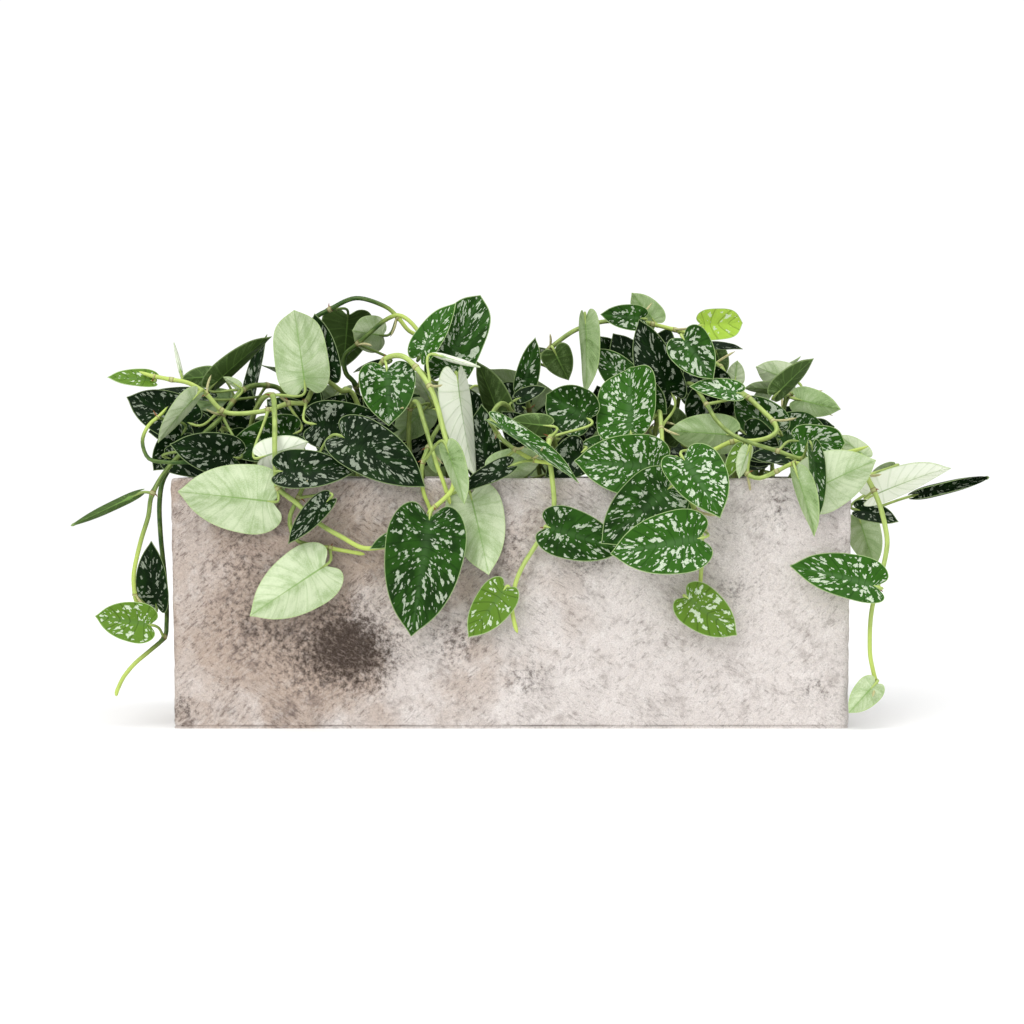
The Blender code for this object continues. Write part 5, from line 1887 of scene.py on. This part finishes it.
        LOG.info("%s: %d faces", made.name, len(made.data.polygons))
        return made


def close_slits(made: bpy.types.Object) -> None:
    """Closes the narrow slits that are left where outlines end along a middle line.

    Args:
        made: The object whose mesh is closed.
    """
    shell = bmesh.new()
    shell.from_mesh(made.data)
    bmesh.ops.holes_fill(shell, edges=[edge for edge in shell.edges if edge.is_boundary])
    bmesh.ops.triangulate(shell, faces=[face for face in shell.faces if len(face.verts) > 4])
    shell.to_mesh(made.data)
    shell.free()


@dataclass
class Soil:
    """The potting mix in the trough, with loose crumbs on top."""

    trough: Trough
    top: float = 196
    gap: float = 0.5
    rise: float = 2.6
    step: float = 4.0
    crumbs: int = 150
    crumb_sizes: tuple[float, float] = (1.6, 4.2)

    def build(self) -> bpy.types.Object:
        """Builds the soil in place of its node.

        Returns:
            The finished object.
        """
        inset = self.trough.wall + self.gap
        inmost = self.trough.depth / 2 - self.trough.middle_gap
        sheets = [self.trough.loop(z, inset)[0] for z in (self.top - 8, self.top - 3)]
        for reach in np.arange(inset, inmost, self.step):
            ring, _ = self.trough.loop(self.top, reach)
            ring[:, 2] += [self.rise * noise.fractal(Vector(p) * 0.09, 0.7, 2.1, 4) - 1.0 for p in ring]
            sheets.append(ring)
        bottom = self.trough.floor + self.gap
        base = [self.trough.loop(bottom, reach)[0] for reach in (inmost - 2, 60, inset)]
        points = np.concatenate(base + sheets)
        faces = grid_faces(len(base + sheets), len(sheets[0]), True)
        patches = Patches()
        patches.add(points, faces, 0, {"grain": points})
        self.scatter(patches)
        made = patches.to_object("potting_mix", [SoilFinish().material()])
        close_slits(made)
        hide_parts("soil")
        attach(made, "root")
        LOG.info("%s: %d faces", made.name, len(made.data.polygons))
        return made

    def scatter(self, patches: Patches) -> None:
        """Adds crumbs that lie on the soil.

        Args:
            patches: The soil's mesh.
        """
        rng = random.Random(SEED)
        for k in range(self.crumbs):
            x = rng.uniform(-0.46, 0.46) * self.trough.length
            y = rng.uniform(-0.40, 0.40) * self.trough.depth
            size = rng.uniform(*self.crumb_sizes)
            middle = Vector((x, y, self.top + size * 0.2))
            way = Vector((rng.uniform(-1, 1), rng.uniform(-1, 1), rng.uniform(-0.3, 0.3))).normalized()
            path = [middle + way * size * t for t in (-0.9, -0.5, 0.1, 0.6, 0.9)]
            radii = [size * share * rng.uniform(0.8, 1.2) for share in (0.45, 0.8, 0.9, 0.7, 0.35)]
            add_tube(patches, path, radii, 7, Skin.TOP, np.zeros((5, 3)), (0, 0, 0), k)


@dataclass
class Studio:
    """The pale floor, the soft lights and the camera."""

    floor_size: float = 9.0
    floor_colour: Triple = (0.94, 0.94, 0.94)
    floor_glow: float = 0.07
    sky_seen: float = 1.05
    sky_light: float = 0.32
    frame_width: float = 906
    sensor: float = 36

    LIGHTS = (("key", (-0.42, -0.72, 0.58), 1.75, 42), ("fill", (0.65, -0.70, 0.30), 0.5, 60),
              ("top", (0.05, -0.12, 1.0), 1.65, 55))

    def build(self) -> None:
        """Builds the studio."""
        self.build_floor()
        self.build_sky()
        for light in self.LIGHTS:
            self.add_light(*light)
        self.build_camera()

    def build_floor(self) -> None:
        """Lays the floor."""
        half = self.floor_size / 2
        mesh = bpy.data.meshes.new("floor")
        corners = [(-half, -half, 0), (half, -half, 0), (half, half, 0), (-half, half, 0)]
        mesh.from_pydata(corners, [], [(0, 1, 2, 3)])
        floor = bpy.data.objects.new("floor", mesh)
        paint = Paint("pale floor", Base_Color=(*self.floor_colour, 1), Roughness=0.8,
                      Specular_IOR_Level=0.1, Emission_Color=(1, 1, 1, 1), Emission_Strength=self.floor_glow)
        mesh.materials.append(paint.material)
        bpy.context.scene.collection.objects.link(floor)
        floor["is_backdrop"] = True

    def build_sky(self) -> None:
        """Makes a white sky that looks brighter than it lights."""
        world = bpy.data.worlds.new("white sky")
        world.use_nodes = True
        nodes, links = world.node_tree.nodes, world.node_tree.links
        seen = nodes["Background"]
        seen.inputs["Color"].default_value = (1, 1, 1, 1)
        seen.inputs["Strength"].default_value = self.sky_seen
        lighting = nodes.new("ShaderNodeBackground")
        lighting.inputs["Color"].default_value = (1, 1, 1, 1)
        lighting.inputs["Strength"].default_value = self.sky_light
        ray = nodes.new("ShaderNodeLightPath")
        choice = nodes.new("ShaderNodeMixShader")
        links.new(ray.outputs["Is Camera Ray"], choice.inputs[0])
        links.new(lighting.outputs[0], choice.inputs[1])
        links.new(seen.outputs[0], choice.inputs[2])
        links.new(choice.outputs[0], nodes["World Output"].inputs[0])
        bpy.context.scene.world = world
        bpy.context.scene.view_settings.view_transform = 'Standard'

    def add_light(self, name: str, way: Triple, strength: float, spread: float) -> None:
        """Adds a soft light that comes from one way all over the scene.

        Args:
            name: The light's name.
            way: The way towards the light.
            strength: How strongly it lights.
            spread: How wide it looks, in degrees.
        """
        lamp = bpy.data.lights.new(name, 'SUN')
        lamp.energy = strength
        lamp.angle = math.radians(spread)
        light = bpy.data.objects.new(name, lamp)
        light.location = Vector(way) * 3
        light.rotation_euler = Vector(way).to_track_quat('Z', 'Y').to_euler()
        bpy.context.scene.collection.objects.link(light)

    def build_camera(self) -> None:
        """Sets the camera at the eye that the vines are drawn from."""
        camera = bpy.data.cameras.new("camera")
        camera.sensor_width = self.sensor
        camera.lens = self.sensor * (SHEET_Y - EYE.y) / self.frame_width
        camera.clip_end = 50
        seat = bpy.data.objects.new("camera", camera)
        seat.location = EYE * MM
        seat.rotation_euler = (AIM - EYE).to_track_quat('-Z', 'Y').to_euler()
        bpy.context.scene.collection.objects.link(seat)
        bpy.context.scene.camera = seat


def write_sizes(packed: tuple[Vector, Vector]) -> None:
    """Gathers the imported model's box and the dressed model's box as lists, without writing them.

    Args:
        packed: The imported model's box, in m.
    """
    boxes = {"cad": packed, "visual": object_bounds()}
    lists = {name: [list(corner) for corner in box] for name, box in boxes.items()}


def main() -> None:
    """Builds the studio, the trough, its soil and its vines."""
    logging.basicConfig(level=logging.INFO, format="%(message)s")
    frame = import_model()
    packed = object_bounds()
    Studio().build()
    trough = Trough()
    trough.build()
    Soil(trough).build()
    surfaces = [finish().material() for finish in (LeafTopFinish, LeafUnderFinish, StemFinish, RootFinish)]
    for number, row in enumerate(VINES):
        Vine(row, number, frame["nodes"][row.name]).build(surfaces)
    write_sizes(packed)


if __name__ == "__main__":
    main()
